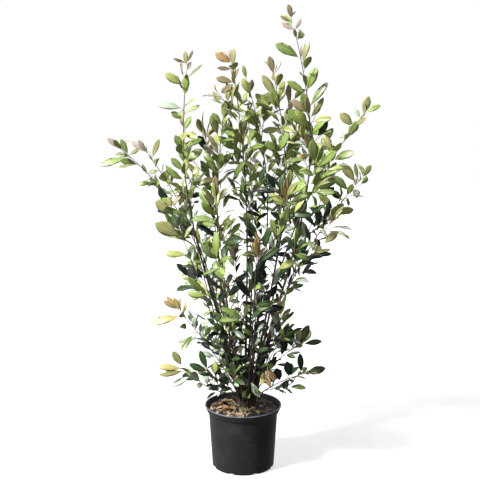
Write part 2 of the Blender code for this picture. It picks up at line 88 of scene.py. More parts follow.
# Soil, with chips and dropped leaves on it
SOIL_TOP = 0.281
SOIL_SINK = 0.002
SOIL_FALL = 0.010
SOIL_FALL_FROM = 0.11
SOIL_FALL_WIDTH = 0.056
SOIL_RINGS = 70
SOIL_SIDES = 220
SOIL_LUMP = 0.004
SOIL_GAP = 0.0012
CHIP_SEED = 91
CHIP_COUNT = 560
CHIP_SPREAD = 0.156
CHIP_EDGE = 0.1625
CHIP_ROWS = 5
CHIP_OUTLINE = ((-1, -1), (0, -1.1), (1, -1), (1, 1), (0.1, 1.35), (-1, 1))
CHIP_ENDS = ((0, 1, 4, 5), (1, 2, 3, 4))
TAN_IN_CLUMPS = 0.80
TAN_ELSEWHERE = 0.05
LITTER_SEED = 57
LITTER_COUNT = 16
LITTER_EDGE = 0.160

# The stage: the camera's focal length is in the photo's pixels
WHITE = (1.0, 1.0, 1.0, 1.0)
FILL_LEFT = 0.55
FILL_RIGHT = 0.20
SENSOR_WIDTH = 36.0
FOCAL_PIXELS = 855.0
PHOTO_WIDTH = 480.0
LOOK_DOWN = 9.18

# Trunk and shoots, as in the part's source
CROWN_CENTRE = Vector((0.018, 0.035, 0.0))
CROWN_FLARE = 0.058
CROWN_TOP_RADIUS = 0.022
CROWN_HEIGHT = 0.075
CROWN_SIDES = 96
CROWN_RINGS = 34
FOOT_SPREAD = 0.031
FOOT_LEAST_SPREAD = 0.35
FOOT_LEAN_REACH = 0.30
FOOT_RISE = 0.35
FOOT_FLARE = 1.7
FOOT_FLARE_LENGTH = 0.05
LOW_STUB_LENGTH = 0.100
LOW_FOOT_RAISED = 0.020
LIMB_STEP = 0.115
TIP_RADIUS = 0.0016
TAPER = 0.85
TIP_LEAF_SHARE = 0.9
CAD_LEAF = 0.120

# Their finer forms
FINE_STEP = 0.012
STEM_SIDES = 12
STEM_SLIM = 0.68
STEM_SUNK = 0.004
# The lowest share of each stem has old bark, which is also darkened as painted shade
OLD_SHADED_BARK = 0.30
BROWN_BARK = 0.78
CROWN_SUNK = 0.006
CROWN_RIDGE = 0.20
CROWN_RIDGES = 14
CROWN_CAP = 0.9

# Growth, as in the part's source
GOLDEN_TURN = math.radians(137.5)
LEAF_STEP = 0.070
LOW_LEAF_STEP = 0.052
FIRST_LEAF = 0.6
LEAF_ANGLE = math.radians(52)
LEAF_ROLL = 0.5
LEAF_SIZES = (0.82, 1.08)
LEAF_TRIES = 4
LEAF_TRY_TURN = 0.45
TWIG_EVERY = 3
TWIG_ANGLE = math.radians(44)
TWIG_RISE = 0.30
TWIG_RADIUS = 0.0021
TWIG_SIZES = (0.8, 1.2)
TWIG_LEAVES = (0.42, 0.74)
TWIGLESS_TIP = 2
GAP = 0.0003
MASS_REACH = 0.21
SEED = 7

# The finer growth that it is carried to here; ROUND is about a full turn
FINE_SEED = 400
ROUND = 6.3
TWIG_SIDES = 6
TWIG_TAPER = 0.55
FINE_TWIG_LEAVES = (0.24, 0.58, 0.88)
FINE_ANGLES = (42, 62)
FILL_SIZES = (0.80, 1.05)
BETWEEN_ANGLES = (40, 60)
BETWEEN_STEPS = ((0.36, 0.0), (0.70, GOLDEN_TURN))
BETWEEN_SPURS = 0.45
BETWEEN_LENGTHS = (0.03, 0.06)
BETWEEN_SIZES = (0.80, 1.08)
CLUSTER_COUNT = 3
CLUSTER_LEAF = 0.062
CLUSTER_SIZES = (0.6, 1.0)
CLUSTER_YOUNG = 0.8
CLUSTER_ANGLES = (12, 42)
CLUSTER_STEP = 0.006
TIP_COUNT = 4
TIP_STEP = 0.012
TIP_ANGLE = 38
TIP_ANGLE_STEP = 8
TIP_SIZES = (0.62, 0.86)
TIP_YOUNG = 0.7
SPUR_RADIUS = 0.0015
SPUR_STEP = 0.018
SPUR_ANGLE = math.radians(58)
SPUR_CHANCE = 0.55
SPUR_END = 0.008
SPUR_SIZES = (0.75, 1.0)
SPUR_TIP_SIZES = (0.7, 0.95)
SPUR_LENGTHS = (0.025, 0.06)
SPUR_GAPS = (0.05, 0.10)
FIRST_SPUR = (0.05, 0.12)
LOW_SPURS = 0.40
LOW_SPURS_CLOSER = 0.6
STALK_SIDES = 5
STALK_RADII = (0.00085, 0.0006)
NEAR_TINT_CHANCE = 0.30

# Blades: the ranges their stalk, width, arch, fold and twist are drawn from
LEAF_STALK = (0.12, 0.19)
LEAF_WIDE = (0.160, 0.222)
LEAF_ARCH = (0.25, 1.0)
LEAF_FOLD = (0.12, 0.5)
LEAF_TWIST = 0.5
YOUNG_FOLD = 0.3
YOUNG_FLATTER = 0.6
YOUNG_NARROWER = 0.30
PLACED_STALK = (0.10, 0.15)
PLACED_ARCH = (0.15, 0.7)
PLACED_FOLD = (0.10, 0.35)
PLACED_TWIST = 0.4
PLACED_YOUNG = (0.8, 0.3)
PLACED_YOUNG_REACH = 0.09

# Where leaves are smaller: inside a radius, fading over a width, and low down
INNER_LEAF = 0.60
INNER_RADIUS = 0.15
INNER_FADE = 0.12
SMALL_BELOW = 0.55
SMALL_FADE = 1.15

# How full the growth between the main leaves is: low, high, in the core and outside it
LOW_CROWN = 0.80
HIGH_CROWN = 1.62
CORE_RADIUS = 0.19
FULL_LOW = 0.50
FULL_HIGH = 0.45
FULL_OUTSIDE = 0.68

Shoot = namedtuple("Shoot", "name bend tip radius bare twig")


def shoots(table):
    """Shoots from rows of a name, then the bend and the tip in millimetres, the radius in
    tenths of one, the bare share in hundredths and the twigs' length in millimetres."""
    made = []
    for row in table.strip().splitlines():
        name, *numbers = row.split()
        x, y, z, tip_x, tip_y, tip_z, radius, bare, twig = [int(number) for number in numbers]
        made.append(Shoot(name, (x / 1000, y / 1000, z / 1000),
                          (tip_x / 1000, tip_y / 1000, tip_z / 1000),
                          radius / 10000, bare / 100, twig / 1000))
    return made


TALL_SHOOTS = shoots("""
    left_tall -262 -80 1475 -236 -100 1922 70 45 100
    left_outer -215 -110 950 -330 -170 1290 55 50 100
    left_inner -112 30 950 -77 0 1720 65 50 120
    left_long -327 0 1313 -471 -40 1530 60 58 110
    left_high -385 95 1308 -634 70 1543 60 58 110
    centre_left -2 0 1484 -59 -30 1933 70 52 130
    centre 91 110 1478 -10 100 1875 70 52 130
    centre_right 180 55 1562 114 50 1908 65 55 120
    tallest 293 -30 1620 193 -30 2106 85 52 120
    right_long 282 -130 1273 565 -180 1713 70 52 110
    right_low 250 30 930 600 0 1430 60 45 110
    right_side 251 -64 948 415 -100 1122 45 42 90
    back_left -130 240 1050 -190 360 1640 60 48 130
    back 45 250 1100 20 400 1740 60 48 130
    back_right 185 250 1050 290 370 1620 60 48 130
    left_back -174 170 814 -287 290 1259 55 45 110
    right_back 245 170 900 440 260 1390 55 45 110
    front_left -80 -200 900 -115 -375 1400 55 45 120
    front_right 125 -220 920 190 -370 1430 55 45 120
    front 40 -245 740 55 -440 1170 50 45 120
    middle -20 30 700 -45 5 1100 45 30 100
""")

LOW_SHOOTS = shoots("""
    low_left_upper -208 -55 655 -352 -85 828 36 0 80
    low_left -183 -40 402 -318 -60 540 34 0 80
    low_left_front -125 -110 455 -235 -170 590 34 0 80
    low_right 212 -55 437 385 -90 490 34 0 80
    low_right_upper 185 20 521 365 30 610 34 0 80
    low_front -34 -132 430 -50 -245 580 34 0 80
    low_back_left -110 160 480 -210 255 640 34 0 80
    low_back_right 140 170 480 235 270 630 34 0 80
    inner_left -60 -55 560 -100 -100 860 40 0 100
    inner_front 45 -80 560 60 -130 890 40 0 100
    inner_right 118 -85 560 195 -110 860 40 0 100
    inner_back 55 120 620 75 190 980 40 0 100
    inner_back_left -60 95 600 -110 150 880 40 0 100
""")

# Leaves that show against the white, by shoot: from which distance on they stand in for the
# growth across the view, then for each leaf its distance up the shoot and its tip in
# millimetres, half its width in hundredths of its length, its roll in degrees and its tint
# Of the tints, pale is a painted highlight and dark and deep are painted shade
PLACED = {
    "left_tall": (1.11, """
    1603 -252 -87 1913 18 10 olive, 1615 -216 -108 1916 12 30 bronze,
    1615 -302 -108 1882 12 32 bronze, 1579 -226 -87 1867 20 15 bronze, 1543 -175 -85 1858 12 25 mid,
    1518 -339 -94 1820 20 15 lime, 1470 -242 -122 1815 21 0 fresh, 1421 -380 -90 1688 19 5 pale,
    1373 -315 -98 1653 24 5 fresh, 1397 -189 -89 1683 16 15 fresh, 1324 -228 -95 1636 22 0 fresh,
    1240 -299 -91 1554 23 0 mid, 1252 -182 -71 1536 17 15 fresh, 1180 -284 -67 1492 15 20 mid,
    1180 -177 -87 1493 24 0 fresh, 1144 -320 -65 1452 20 10 mid, 1132 -243 -94 1458 22 5 lime"""),
    "left_high": (1.07, """
    1354 -622 79 1534 16 10 pink, 1342 -603 100 1528 12 30 bronze, 1307 -558 73 1530 20 5 mid,
    1307 -478 83 1484 20 15 olive, 1247 -564 67 1434 20 8 mid, 1295 -661 84 1406 15 15 fresh,
    1188 -467 101 1414 22 5 mid, 1129 -491 94 1317 17 15 fresh, 1093 -432 106 1344 20 10 mid,
    1331 -591 101 1455 12 30 mid"""),
    "left_long": (1.03, """
    1277 -502 -8 1524 15 10 pink, 1277 -467 -38 1530 18 15 pink, 1265 -444 -6 1524 14 20 pale,
    1241 -375 -22 1534 14 15 olive, 1181 -425 -3 1381 20 10 mid, 1145 -395 -18 1422 20 5 mid,
    1121 -338 -15 1400 28 0 fresh, 1085 -308 10 1393 16 20 bronze, 1073 -276 -18 1315 24 5 lime,
    1049 -273 4 1267 16 15 bronze"""),
    "left_outer": (0.76, """
    991 -384 -156 1272 24 5 olive, 882 -387 -148 1174 24 2 olive, 870 -226 -126 1158 20 10 lime,
    1028 -271 -162 1294 20 10 bronze, 1016 -328 -150 1293 18 10 olive, 797 -347 -124 1032 17 5 lime,
    822 -214 -118 1067 22 5 mid, 761 -179 -118 995 16 15 mid, 676 -266 -94 890 16 15 mid,
    592 -236 -88 820 20 5 olive"""),
    "centre_left": (1.42, """
    1562 -41 -23 1930 14 8 olive, 1586 -59 -14 1926 14 25 bronze, 1586 -124 -34 1907 24 5 orange,
    1562 -116 -23 1844 14 22 bronze, 1502 -121 -18 1801 20 10 bronze,
    1502 -98 -38 1735 20 10 bronze, 1431 -77 -4 1779 16 10 mid, 1395 20 -11 1714 14 15 olive,
    1586 -77 -4 1922 16 20 pink, 1514 -19 -9 1844 14 15 bronze, 1347 -64 -8 1652 20 10 mid,
    1323 38 3 1648 22 5 fresh"""),
    "left_inner": (1.31, """
    1342 -77 6 1705 20 5 lime, 1342 -51 16 1705 20 10 olive, 1414 -144 2 1709 12 30 mid,
    1318 -140 17 1648 20 20 mid, 1306 -64 8 1555 20 10 deep, 1209 -163 12 1559 12 15 bronze,
    1185 -146 23 1518 12 20 pink, 1173 -182 24 1505 12 25 pink, 1149 -55 -5 1462 25 0 fresh,
    1112 -95 -14 1471 28 0 fresh, 1100 -164 17 1438 20 10 mid"""),
    "centre": (1.43, """
    1530 -1 103 1862 16 10 mid, 1457 -6 96 1804 20 5 lime, 1421 -1 127 1692 28 10 deep,
    1385 81 107 1714 20 5 lime, 1300 17 89 1660 24 0 fresh, 1349 104 118 1642 20 10 mid"""),
    "centre_right": (1.41, """
    1548 115 52 1899 20 8 bronze, 1548 169 62 1878 14 15 olive, 1584 93 61 1878 14 10 pink,
    1511 169 52 1811 20 20 bronze, 1438 182 43 1793 16 10 lime, 1438 84 63 1816 15 5 olive,
    1390 124 34 1758 20 2 fresh, 1390 107 64 1741 16 10 olive, 1378 184 54 1589 26 5 mid,
    1414 89 64 1683 16 20 bronze"""),
    "tallest": (1.38, """
    1806 193 -31 2115 20 8 bronze, 1818 229 -20 2087 14 20 olive, 1794 159 -31 2065 14 25 bronze,
    1757 164 -21 2040 20 8 pink, 1757 250 -31 2056 17 10 pink, 1721 219 -41 2009 22 10 bronze,
    1636 138 -31 1946 20 8 mid, 1612 286 -31 1959 15 10 olive, 1636 265 -21 1951 16 15 bronze,
    1490 321 -41 1847 20 0 fresh, 1478 192 -21 1788 18 5 mid, 1418 372 -31 1783 13 10 mid,
    1369 356 -20 1718 12 15 olive, 1393 210 -30 1705 20 8 bronze, 1406 257 -40 1735 24 0 mid,
    1333 197 -30 1661 24 2 mid, 1381 274 -60 1714 16 5 bronze, 1298 349 -29 1574 24 0 fresh,
    1227 276 -47 1561 22 0 bronze, 1215 242 -47 1451 26 5 gold"""),
    "right_long": (1.27, """
    1466 532 -172 1721 22 2 olive, 1478 584 -173 1684 17 5 fresh, 1454 471 -161 1667 24 10 pale,
    1406 411 -167 1650 24 2 olive, 1358 488 -173 1616 26 0 mid, 1358 406 -153 1556 30 5 pale,
    1203 399 -148 1518 22 5 olive, 1191 392 -137 1491 16 5 fresh"""),
    "right_low": (1.04, """
    1174 602 8 1429 14 10 mid, 1198 577 16 1415 20 15 mid, 1162 445 8 1425 20 5 olive,
    1174 503 8 1425 12 25 mid, 1114 405 11 1366 20 8 mid, 1090 494 -7 1332 24 2 fresh,
    1066 398 14 1298 26 2 dark, 1090 481 13 1229 18 10 fresh, 1006 340 27 1287 20 5 lime,
    982 365 38 1226 20 10 mid"""),
    "right_side": (0.72, """
    855 324 -85 1093 30 0 deep, 867 421 -87 1129 22 2 olive, 806 397 -78 1024 14 5 deep,
    806 393 -68 1045 12 20 olive, 758 322 -71 977 20 10 deep, 903 346 -83 1142 15 10 pale"""),
    "low_right_upper": (0.31, """
    370 369 23 592 16 5 dark, 346 266 32 653 22 5 olive, 358 307 23 670 20 5 dark,
    334 279 12 576 24 10 olive, 322 198 1 675 24 0 dark, 287 176 10 606 30 0 deep,
    263 271 20 540 10 25 pale, 144 130 -6 373 16 10 orange, 120 149 6 404 20 10 orange,
    144 88 4 487 20 10 gold"""),
    "low_right": (0.24, """
    304 378 -82 495 20 2 dark, 267 289 -64 437 12 30 mid, 291 260 -60 559 16 5 deep,
    230 201 -55 520 24 5 deep, 230 183 -65 389 30 5 deep, 182 152 -41 482 30 0 deep"""),
    "low_left_upper": (0.43, """
    522 -417 -70 698 15 8 gold, 557 -349 -75 831 14 15 orange, 545 -312 -94 826 26 0 gold,
    522 -255 -70 802 18 10 gold, 557 -364 -65 805 16 15 bronze, 426 -224 -67 731 25 0 pale,
    390 -304 -51 609 12 18 pale, 402 -162 -43 697 12 20 pale, 377 -143 -49 679 16 15 mid,
    353 -134 -45 650 24 5 deep"""),
    "low_left": (0.25, """
    345 -322 -68 571 22 5 olive, 332 -393 -57 492 15 10 gold, 320 -388 -66 456 12 15 olive,
    284 -330 -52 399 17 5 pale, 211 -218 -60 402 36 0 pale, 247 -233 -37 480 20 10 pale,
    235 -168 -35 461 12 20 pale"""),
    "low_left_front": (0.26, """
    281 -245 -139 532 17 5 dark, 294 -195 -134 595 16 10 dark, 232 -128 -130 543 24 5 lime,
    244 -138 -115 425 16 10 pale, 220 -79 -105 483 20 10 mid"""),
    "inner_front": (9.90, """
    144 3 -111 371 20 0 fresh, 120 77 -72 353 24 0 pale, 216 17 -107 441 20 10 dark"""),
    "inner_right": (9.90, """
    206 127 -100 410 16 10 orange, 218 150 -94 442 18 10 orange, 193 86 -95 418 18 10 gold,
    230 139 -108 513 26 0 fresh"""),
}

UP = Vector((0.0, 0.0, 1.0))

# Which way the blades turn their upper skins
SUNWARD = Vector((-0.50, -0.72, 0.48))
CROWN_REACH = 0.30
FACE_UP = 0.45
FACE_OUT = 0.60
FACE_SUN = 0.55
FACE_JITTER = 0.55
MAIN_JITTER = 0.30
PLACED_FACING = Vector((-0.22, -0.88, 0.22))
PLACED_FACE_SHARE = 0.4
PLACED_WIDER = 1.05
PLACED_TRIES = (0.0, 15.0, -25.0, 35.0, -50.0)
ACROSS_VIEW = 0.72


class Line:
    """A run of straight stretches, read by distance along it."""

    def __init__(self, points):
        self.points = points
        self.array = np.array([tuple(p) for p in points])
        steps = np.linalg.norm(np.diff(self.array, axis=0), axis=1)
        self.marks = np.concatenate([[0.0], np.cumsum(steps)])
        self.length = float(self.marks[-1])

    def stretch(self, distance):
        i = int(np.searchsorted(self.marks, distance))
        i = min(max(i, 1), len(self.points) - 1)
        share = (distance - self.marks[i - 1]) / (self.marks[i] - self.marks[i - 1])
        return self.points[i - 1], self.points[i], float(share)

    def at(self, distance):
        a, b, share = self.stretch(distance)
        return a.lerp(b, share)

    def heading(self, distance):
        a, b, share = self.stretch(distance)
        return (b - a).normalized()

    def gap_to(self, place):
        """How far a place is from the line's nearest point."""
        return float(np.linalg.norm(self.array - np.array(tuple(place)), axis=1).min())

    def mark_near(self, place):
        """The distance along the line of the point nearest to a place."""
        gaps = np.linalg.norm(self.array - np.array(tuple(place)), axis=1)
        return float(self.marks[int(gaps.argmin())])

    def joint(self, distance):
        """The middle of the stretch that holds a distance, where the solids part a limb."""
        i = min(max(int(np.searchsorted(self.marks, distance)), 1), len(self.points) - 1)
        return float(self.marks[i - 1] + self.marks[i]) / 2


def cubic(a, b, leave, arrive, step):
    """Points about a step apart, on a cubic from a to b with the two tangents."""
    points = []
    steps = max(2, round((b - a).length / step))
    for i in range(steps + 1):
        t = i / steps
        stay = 2 * t ** 3 - 3 * t ** 2 + 1
        points.append(a * stay + leave * (t ** 3 - 2 * t ** 2 + t)
                      + b * (1 - stay) + arrive * (t ** 3 - t ** 2))
    return points


def foot_of(shoot):
    """Where a shoot leaves the soil: the more it leans, the further from the middle."""
    bend = Vector(shoot.bend)
    away = Vector((bend.x, bend.y, 0.0)) - CROWN_CENTRE
    share = min(1.0, FOOT_LEAST_SPREAD + away.length / FOOT_LEAN_REACH)
    foot = CROWN_CENTRE + away.normalized() * FOOT_SPREAD * share
    foot.z = SOIL_TOP + (0.0 if shoot.bare else LOW_FOOT_RAISED)
    return foot


def course_of(shoot, step=FINE_STEP):
    """A shoot's run from its foot through its bend to its tip, in stretches about a step long."""
    foot = foot_of(shoot)
    bend = Vector(shoot.bend)
    tip = Vector(shoot.tip)
    first = (bend - foot).length
    second = (tip - bend).length
    start = ((bend - foot) / first + FOOT_RISE * UP).normalized()
    middle = ((bend - foot) / first * second + (tip - bend) / second * first).normalized()
    end = (2 * (tip - bend) / second - middle).normalized()
    lower = cubic(foot, bend, start * first, middle * first, step)
    upper = cubic(bend, tip, middle * second, end * second, step)
    return Line(lower + upper[1:])


def limb_radius(shoot, course, distance):
    """A limb's radius, which tapers from its foot to its tip."""
    share = max(0.0, 1.0 - distance / course.length)
    return TIP_RADIUS + (shoot.radius - TIP_RADIUS) * share ** TAPER


def socket(sockets, name):
    """A socket by name or number, the enabled one where several share the name."""
    named = [one for one in sockets if one.name == name and one.enabled]
    return named[0] if named else sockets[name]


class Nodes:
    """A node tree, built node by node."""

    def __init__(self, owner):
        owner.use_nodes = True
        self.tree = owner.node_tree

    def feed(self, node, name, value):
        """Give an input a plain value, or link another node's output to it."""
        if isinstance(value, bpy.types.NodeSocket):
            self.tree.links.new(value, socket(node.inputs, name))
        else:
            socket(node.inputs, name).default_value = value

    def node(self, kind, inputs=None, **settings):
        made = self.tree.nodes.new(kind)
        for name, value in settings.items():
            setattr(made, name, value)
        for name, value in (inputs or {}).items():
            self.feed(made, name, value)
        return made

    def spread(self, value, low, high, start=0.3, end=0.7):
        """A value taken from one range to another."""
        ranges = {"Value": value, "From Min": start, "From Max": end, "To Min": low, "To Max": high}
        return self.node("ShaderNodeMapRange", ranges).outputs["Result"]


class Look(Nodes):
    """A procedural material on the Principled shader."""

    def __init__(self, name):
        self.material = bpy.data.materials.new(name)
        super().__init__(self.material)
        self.shader = self.tree.nodes["Principled BSDF"]
        self.place = self.node("ShaderNodeTexCoord").outputs["Object"]

    def set(self, name, value):
        self.feed(self.shader, name, value)

    def stretched(self, *scale):
        """The coordinates, scaled along each axis."""
        return self.node("ShaderNodeMapping", {"Scale": scale, "Vector": self.place}).outputs[0]

    def noise(self, scale, detail=3.0, roughness=0.55, source=None):
        return self.node("ShaderNodeTexNoise", {
            "Scale": scale, "Detail": detail, "Roughness": roughness,
            "Vector": source or self.place}).outputs["Fac"]

    def ramp(self, value, *stops):
        """Colours for a value, from (position, colour) stops."""
        made = self.node("ShaderNodeValToRGB", {"Fac": value})
        marks = made.color_ramp.elements
        while len(marks) < len(stops):
            marks.new(0.5)
        for mark, (position, colour) in zip(marks, stops):
            mark.position = position
            mark.color = (*colour, 1.0)
        return made.outputs["Color"]

    def bump(self, height, strength, distance, before=None):
        """Fine relief, over what another bump has made before."""
        inputs = {"Height": height, "Strength": strength, "Distance": distance}
        if before:
            inputs["Normal"] = before
        normal = self.node("ShaderNodeBump", inputs).outputs["Normal"]
        self.set("Normal", normal)
        return normal


def leaf_look(name, colour, roughness=0.36, bumps=0.25, wax=0.0, gloss=0.5):
    """A leaf's skin: one plain colour, with a waxy gloss that varies and a fine grain."""
    look = Look(name)
    look.set("Base Color", (*colour, 1.0))
    look.set("Specular IOR Level", gloss)
    look.set("Coat Weight", wax)
    look.set("Coat Roughness", 0.24)
    look.set("Roughness", look.spread(look.noise(45.0), roughness - 0.07, roughness + 0.12))
    look.bump(look.noise(420.0, 2.0), bumps, 0.0006)
    return look.material


def grained_look(name, grain, scale, stops, rough, relief, crumbs=None):
    """A rough skin whose colour, roughness and relief follow one grain, with finer crumbs."""
    look = Look(name)
    value = look.noise(*grain, look.stretched(*scale) if scale else None)
    look.set("Base Color", look.ramp(value, *stops))
    look.set("Roughness", look.spread(value, *rough))
    first = look.bump(value, *relief)
    if crumbs:
        fine_grain, fine_scale, fine_relief = crumbs
        fine = look.noise(*fine_grain, look.stretched(*fine_scale) if fine_scale else None)
        look.bump(fine, *fine_relief, first)
    return look.material


def bark_look(name, dark, mid, light, roughness=0.78):
    """Bark with streaks along the stem, cracks across it and pale lenticels."""
    return grained_look(name, (1.0, 5.0, 0.62), (260.0, 260.0, 34.0),
                        ((0.32, dark), (0.52, mid), (0.74, light)),
                        (roughness - 0.1, roughness + 0.12), (0.55, 0.0012),
                        ((1.0, 3.0, 0.6), (420.0, 420.0, 190.0), (0.4, 0.0006)))


def put(name, data):
    """An object in the scene, of a mesh, a light or a camera."""
    body = bpy.data.objects.new(name, data)
    bpy.context.scene.collection.objects.link(body)
    return body


def put_solid(name, bm):
    """An object of a bmesh, which is freed."""
    mesh = bpy.data.meshes.new(name)
    bm.to_mesh(mesh)
    bm.free()
    return put(name, mesh)


class Heap:
    """Points and faces of many small shapes that become one mesh."""

    def __init__(self):
        self.points = []
        self.faces = []
        self.slots = []
        self.count = 0

    def add(self, points, faces, slots):
        self.points.append(points)
        self.faces.append(np.asarray(faces) + self.count)
        self.slots.append(np.broadcast_to(slots, len(faces)))
        self.count += len(points)

    def build(self, name, materials):
        """One smooth-shaded object of everything in the heap."""
        mesh = bpy.data.meshes.new(name)
        points, faces, slots = map(np.concatenate, (self.points, self.faces, self.slots))
        mesh.from_pydata(points.tolist(), [], faces.tolist())
        for material in materials:
            mesh.materials.append(material)
        mesh.polygons.foreach_set("material_index", slots.astype(np.int32))
        mesh.shade_smooth()
        return put(name, mesh)


def rings(places, radii, sides, relief=None):
    """A tube round a run of places: its points, and four-sided faces between its rings."""
    places = np.asarray([tuple(p) for p in places])
    ahead = np.gradient(places, axis=0)
    ahead /= np.linalg.norm(ahead, axis=1)[:, None]
    first = np.cross(ahead[0], (0.0, 0.0, 1.0))
    if np.linalg.norm(first) < 0.05:
        first = np.array((1.0, 0.0, 0.0))
    across = np.empty_like(places)
    side = first
    for i, way in enumerate(ahead):
        side = side - way * side.dot(way)
        side = side / np.linalg.norm(side)
        across[i] = side
    above = np.cross(ahead, across)
    turn = np.arange(sides) * 2 * math.pi / sides
    radius = np.asarray(radii)[:, None] * np.ones(sides)
    if relief is not None:
        radius = radius * relief
    wheel = (np.cos(turn)[None, :, None] * across[:, None, :]
             + np.sin(turn)[None, :, None] * above[:, None, :])
    points = (places[:, None, :] + radius[:, :, None] * wheel).reshape(-1, 3)
    return points, ring_faces(len(places), sides)


def ring_faces(count, sides):
    """Faces between rings of points that lie one after another."""
    low = np.arange((count - 1) * sides).reshape(count - 1, sides)
    after = np.roll(low, -1, axis=1)
    return np.stack([low, after, after + sides, low + sides], axis=2).reshape(-1, 4)


class Space:
    """What has grown so far, to keep new growth clear of it."""

    def __init__(self, most=9000):
        self.low = np.full((most, 3), 9.0)
        self.high = np.full((most, 3), -9.0)
        self.surfaces = []

    def add(self, points, faces):
        """Take a shape in, and return its number."""
        number = len(self.surfaces)
        self.low[number] = points.min(axis=0)
        self.high[number] = points.max(axis=0)
        self.surfaces.append(BVHTree.FromPolygons(points.tolist(), faces.tolist()))
        return number

    def is_clear(self, points, faces, but=()):
        """True if the shape touches nothing, apart from the numbers given."""
        low = points.min(axis=0)
        high = points.max(axis=0)
        near = np.nonzero(((self.low < high) & (self.high > low)).all(axis=1))[0]
        near = [number for number in near if number not in but]
        if not near:
            return True
        surface = BVHTree.FromPolygons(points.tolist(), faces.tolist())
        return not any(surface.overlap(self.surfaces[number]) for number in near)


SPACE = Space()

# The box that the leaves keep to, a little past the solids' own
BOX_PAST = 0.027
LEAF_LOW = np.array(cad_box[0]) - BOX_PAST
LEAF_HIGH = np.array(cad_box[1]) + BOX_PAST

# A leaf's rows from root to tip, and its columns from edge to edge
LEAF_ROWS = np.array((0.0, 0.05, 0.13, 0.24, 0.36, 0.48, 0.60, 0.72, 0.83, 0.92, 1.0))
LEAF_COLUMNS = np.array((-1.0, -0.55, -0.055, 0.055, 0.55, 1.0))
LEAF_THICK = 0.00035
RIB_DEPTH = 0.0008

# A blade's outline and how its halves cup and wave
BLADE_SWELL = 1.05
BLADE_TAPER = 0.78
BLADE_FULLEST = 0.2847
BLADE_LEAST = 0.0006
BLADE_CUP = 0.22
WAVE_HEIGHT = 0.075
WAVE_RUN = 17.0
WAVE_LAG = 1.4

Blade = namedtuple("Blade", "length wide arch fold twist wave")


def blade_shape(blade, rows, columns):
    """Points of a blade's upper skin, from its root at the origin to its tip on +X."""
    bend = max(blade.arch, 0.02)
    pitch = bend / 2 - bend * rows
    along = blade.length * (math.sin(bend / 2) - np.sin(pitch)) / bend
    rise = blade.length * (np.cos(pitch) - math.cos(bend / 2)) / bend
    width = rows ** BLADE_SWELL * (1.0 - rows) ** BLADE_TAPER / BLADE_FULLEST
    width = np.maximum(width * blade.wide * blade.length, BLADE_LEAST)
    turn = blade.twist * (rows - 0.3)
    across = width[:, None] * columns[None, :]
    lift = np.abs(across) * math.tan(blade.fold)
    lift -= BLADE_CUP * width[:, None] * columns[None, :] ** 2
    ripple = np.sin(rows[:, None] * WAVE_RUN + blade.wave + np.sign(columns)[None, :] * WAVE_LAG)
    lift += WAVE_HEIGHT * width[:, None] * columns[None, :] ** 2 * ripple
    side = across * np.cos(turn)[:, None] - lift * np.sin(turn)[:, None]
    over = across * np.sin(turn)[:, None] + lift * np.cos(turn)[:, None]
    x = along[:, None] - over * np.sin(pitch)[:, None]
    z = rise[:, None] + over * np.cos(pitch)[:, None]
    return np.stack([x, side, z], axis=2)


def grid_faces(rows, columns):
    """Four-sided faces between the rows and columns of a grid of points."""
    low = (np.arange(rows - 1)[:, None] * columns + np.arange(columns - 1)[None, :]).reshape(-1)
    return np.stack([low, low + columns, low + columns + 1, low + 1], axis=1)
    return faces[:, ::-1] if not flip else faces


def leaf_faces():
    """A blade's faces and their slots: its upper skin, its midrib and its under skin."""
    rows = len(LEAF_ROWS)
    columns = len(LEAF_COLUMNS)
    strip = np.tile(np.arange(columns - 1), rows - 1)
    slots = np.where(strip == columns // 2 - 1, 1, 0)
    left = np.arange(rows) * columns
    middle = rows * columns + np.arange(rows)
    right = left + columns - 1
    under = []
    for i in range(rows - 1):
        under.append((middle[i], middle[i + 1], left[i + 1], left[i]))
        under.append((right[i], right[i + 1], middle[i + 1], middle[i]))
    faces = np.concatenate([grid_faces(rows, columns), np.array(under)])
    return faces, np.concatenate([slots, np.full(len(under), 2)])


LEAF_FACES, LEAF_SLOTS = leaf_faces()


def leaf_points(blade):
    """A blade's points: its upper skin, then the line of its midrib below."""
    top = blade_shape(blade, LEAF_ROWS, LEAF_COLUMNS)
    middle = top[:, 2:4].mean(axis=1)
    middle[:, 2] -= LEAF_THICK + RIB_DEPTH * (1.0 - LEAF_ROWS)
    return np.concatenate([top.reshape(-1, 3), middle])


# A blade in few faces, for the tests of what it touches
ROUGH_ROWS = np.array((0.06, 0.35, 0.7, 1.0))
ROUGH_COLUMNS = np.array((-1.0, 0.0, 1.0))
ROUGH_FACES = grid_faces(4, 3)[:, ::-1]


def level_across(heading):
    """A level direction square to the heading."""
    across = heading.cross(UP)
    if across.length < 0.05:
        across = Vector((1.0, 0.0, 0.0))
    return across.normalized()


def facing_at(place):
    """Which way blades face at a place: up, out of the crown and towards the sun."""
    out = Vector((place.x - CROWN_CENTRE.x, place.y - CROWN_CENTRE.y, 0.0)) / CROWN_REACH
    if out.length > 1.0:
        out.normalize()
    return UP * FACE_UP + out * FACE_OUT + SUNWARD * FACE_SUN


def aim(place, direction, facing, roll):
    """A frame at a place, with +X along the direction and +Z as near the facing as it can be."""
    ahead = direction.normalized()
    side = facing.cross(ahead)
    if side.length < 0.05:
        side = -level_across(ahead)
    side.normalize()
    above = ahead.cross(side)
    turned_frame = Matrix((ahead, side, above)).transposed().to_4x4()
    return Matrix.Translation(place) @ turned_frame @ Matrix.Rotation(roll, 4, "X")


def sideways(heading, turn):
    """A direction square to the heading, at an angle round it."""
    return Matrix.Rotation(turn, 3, heading) @ level_across(heading)


def outward(heading, turn, angle):
    """A direction that leaves the heading by an angle, at a turn round it."""
    return heading * math.cos(angle) + sideways(heading, turn) * math.sin(angle)


def moved(points, matrix):
    matrix = np.array(matrix)
    return points @ matrix[:3, :3].T + matrix[:3, 3]
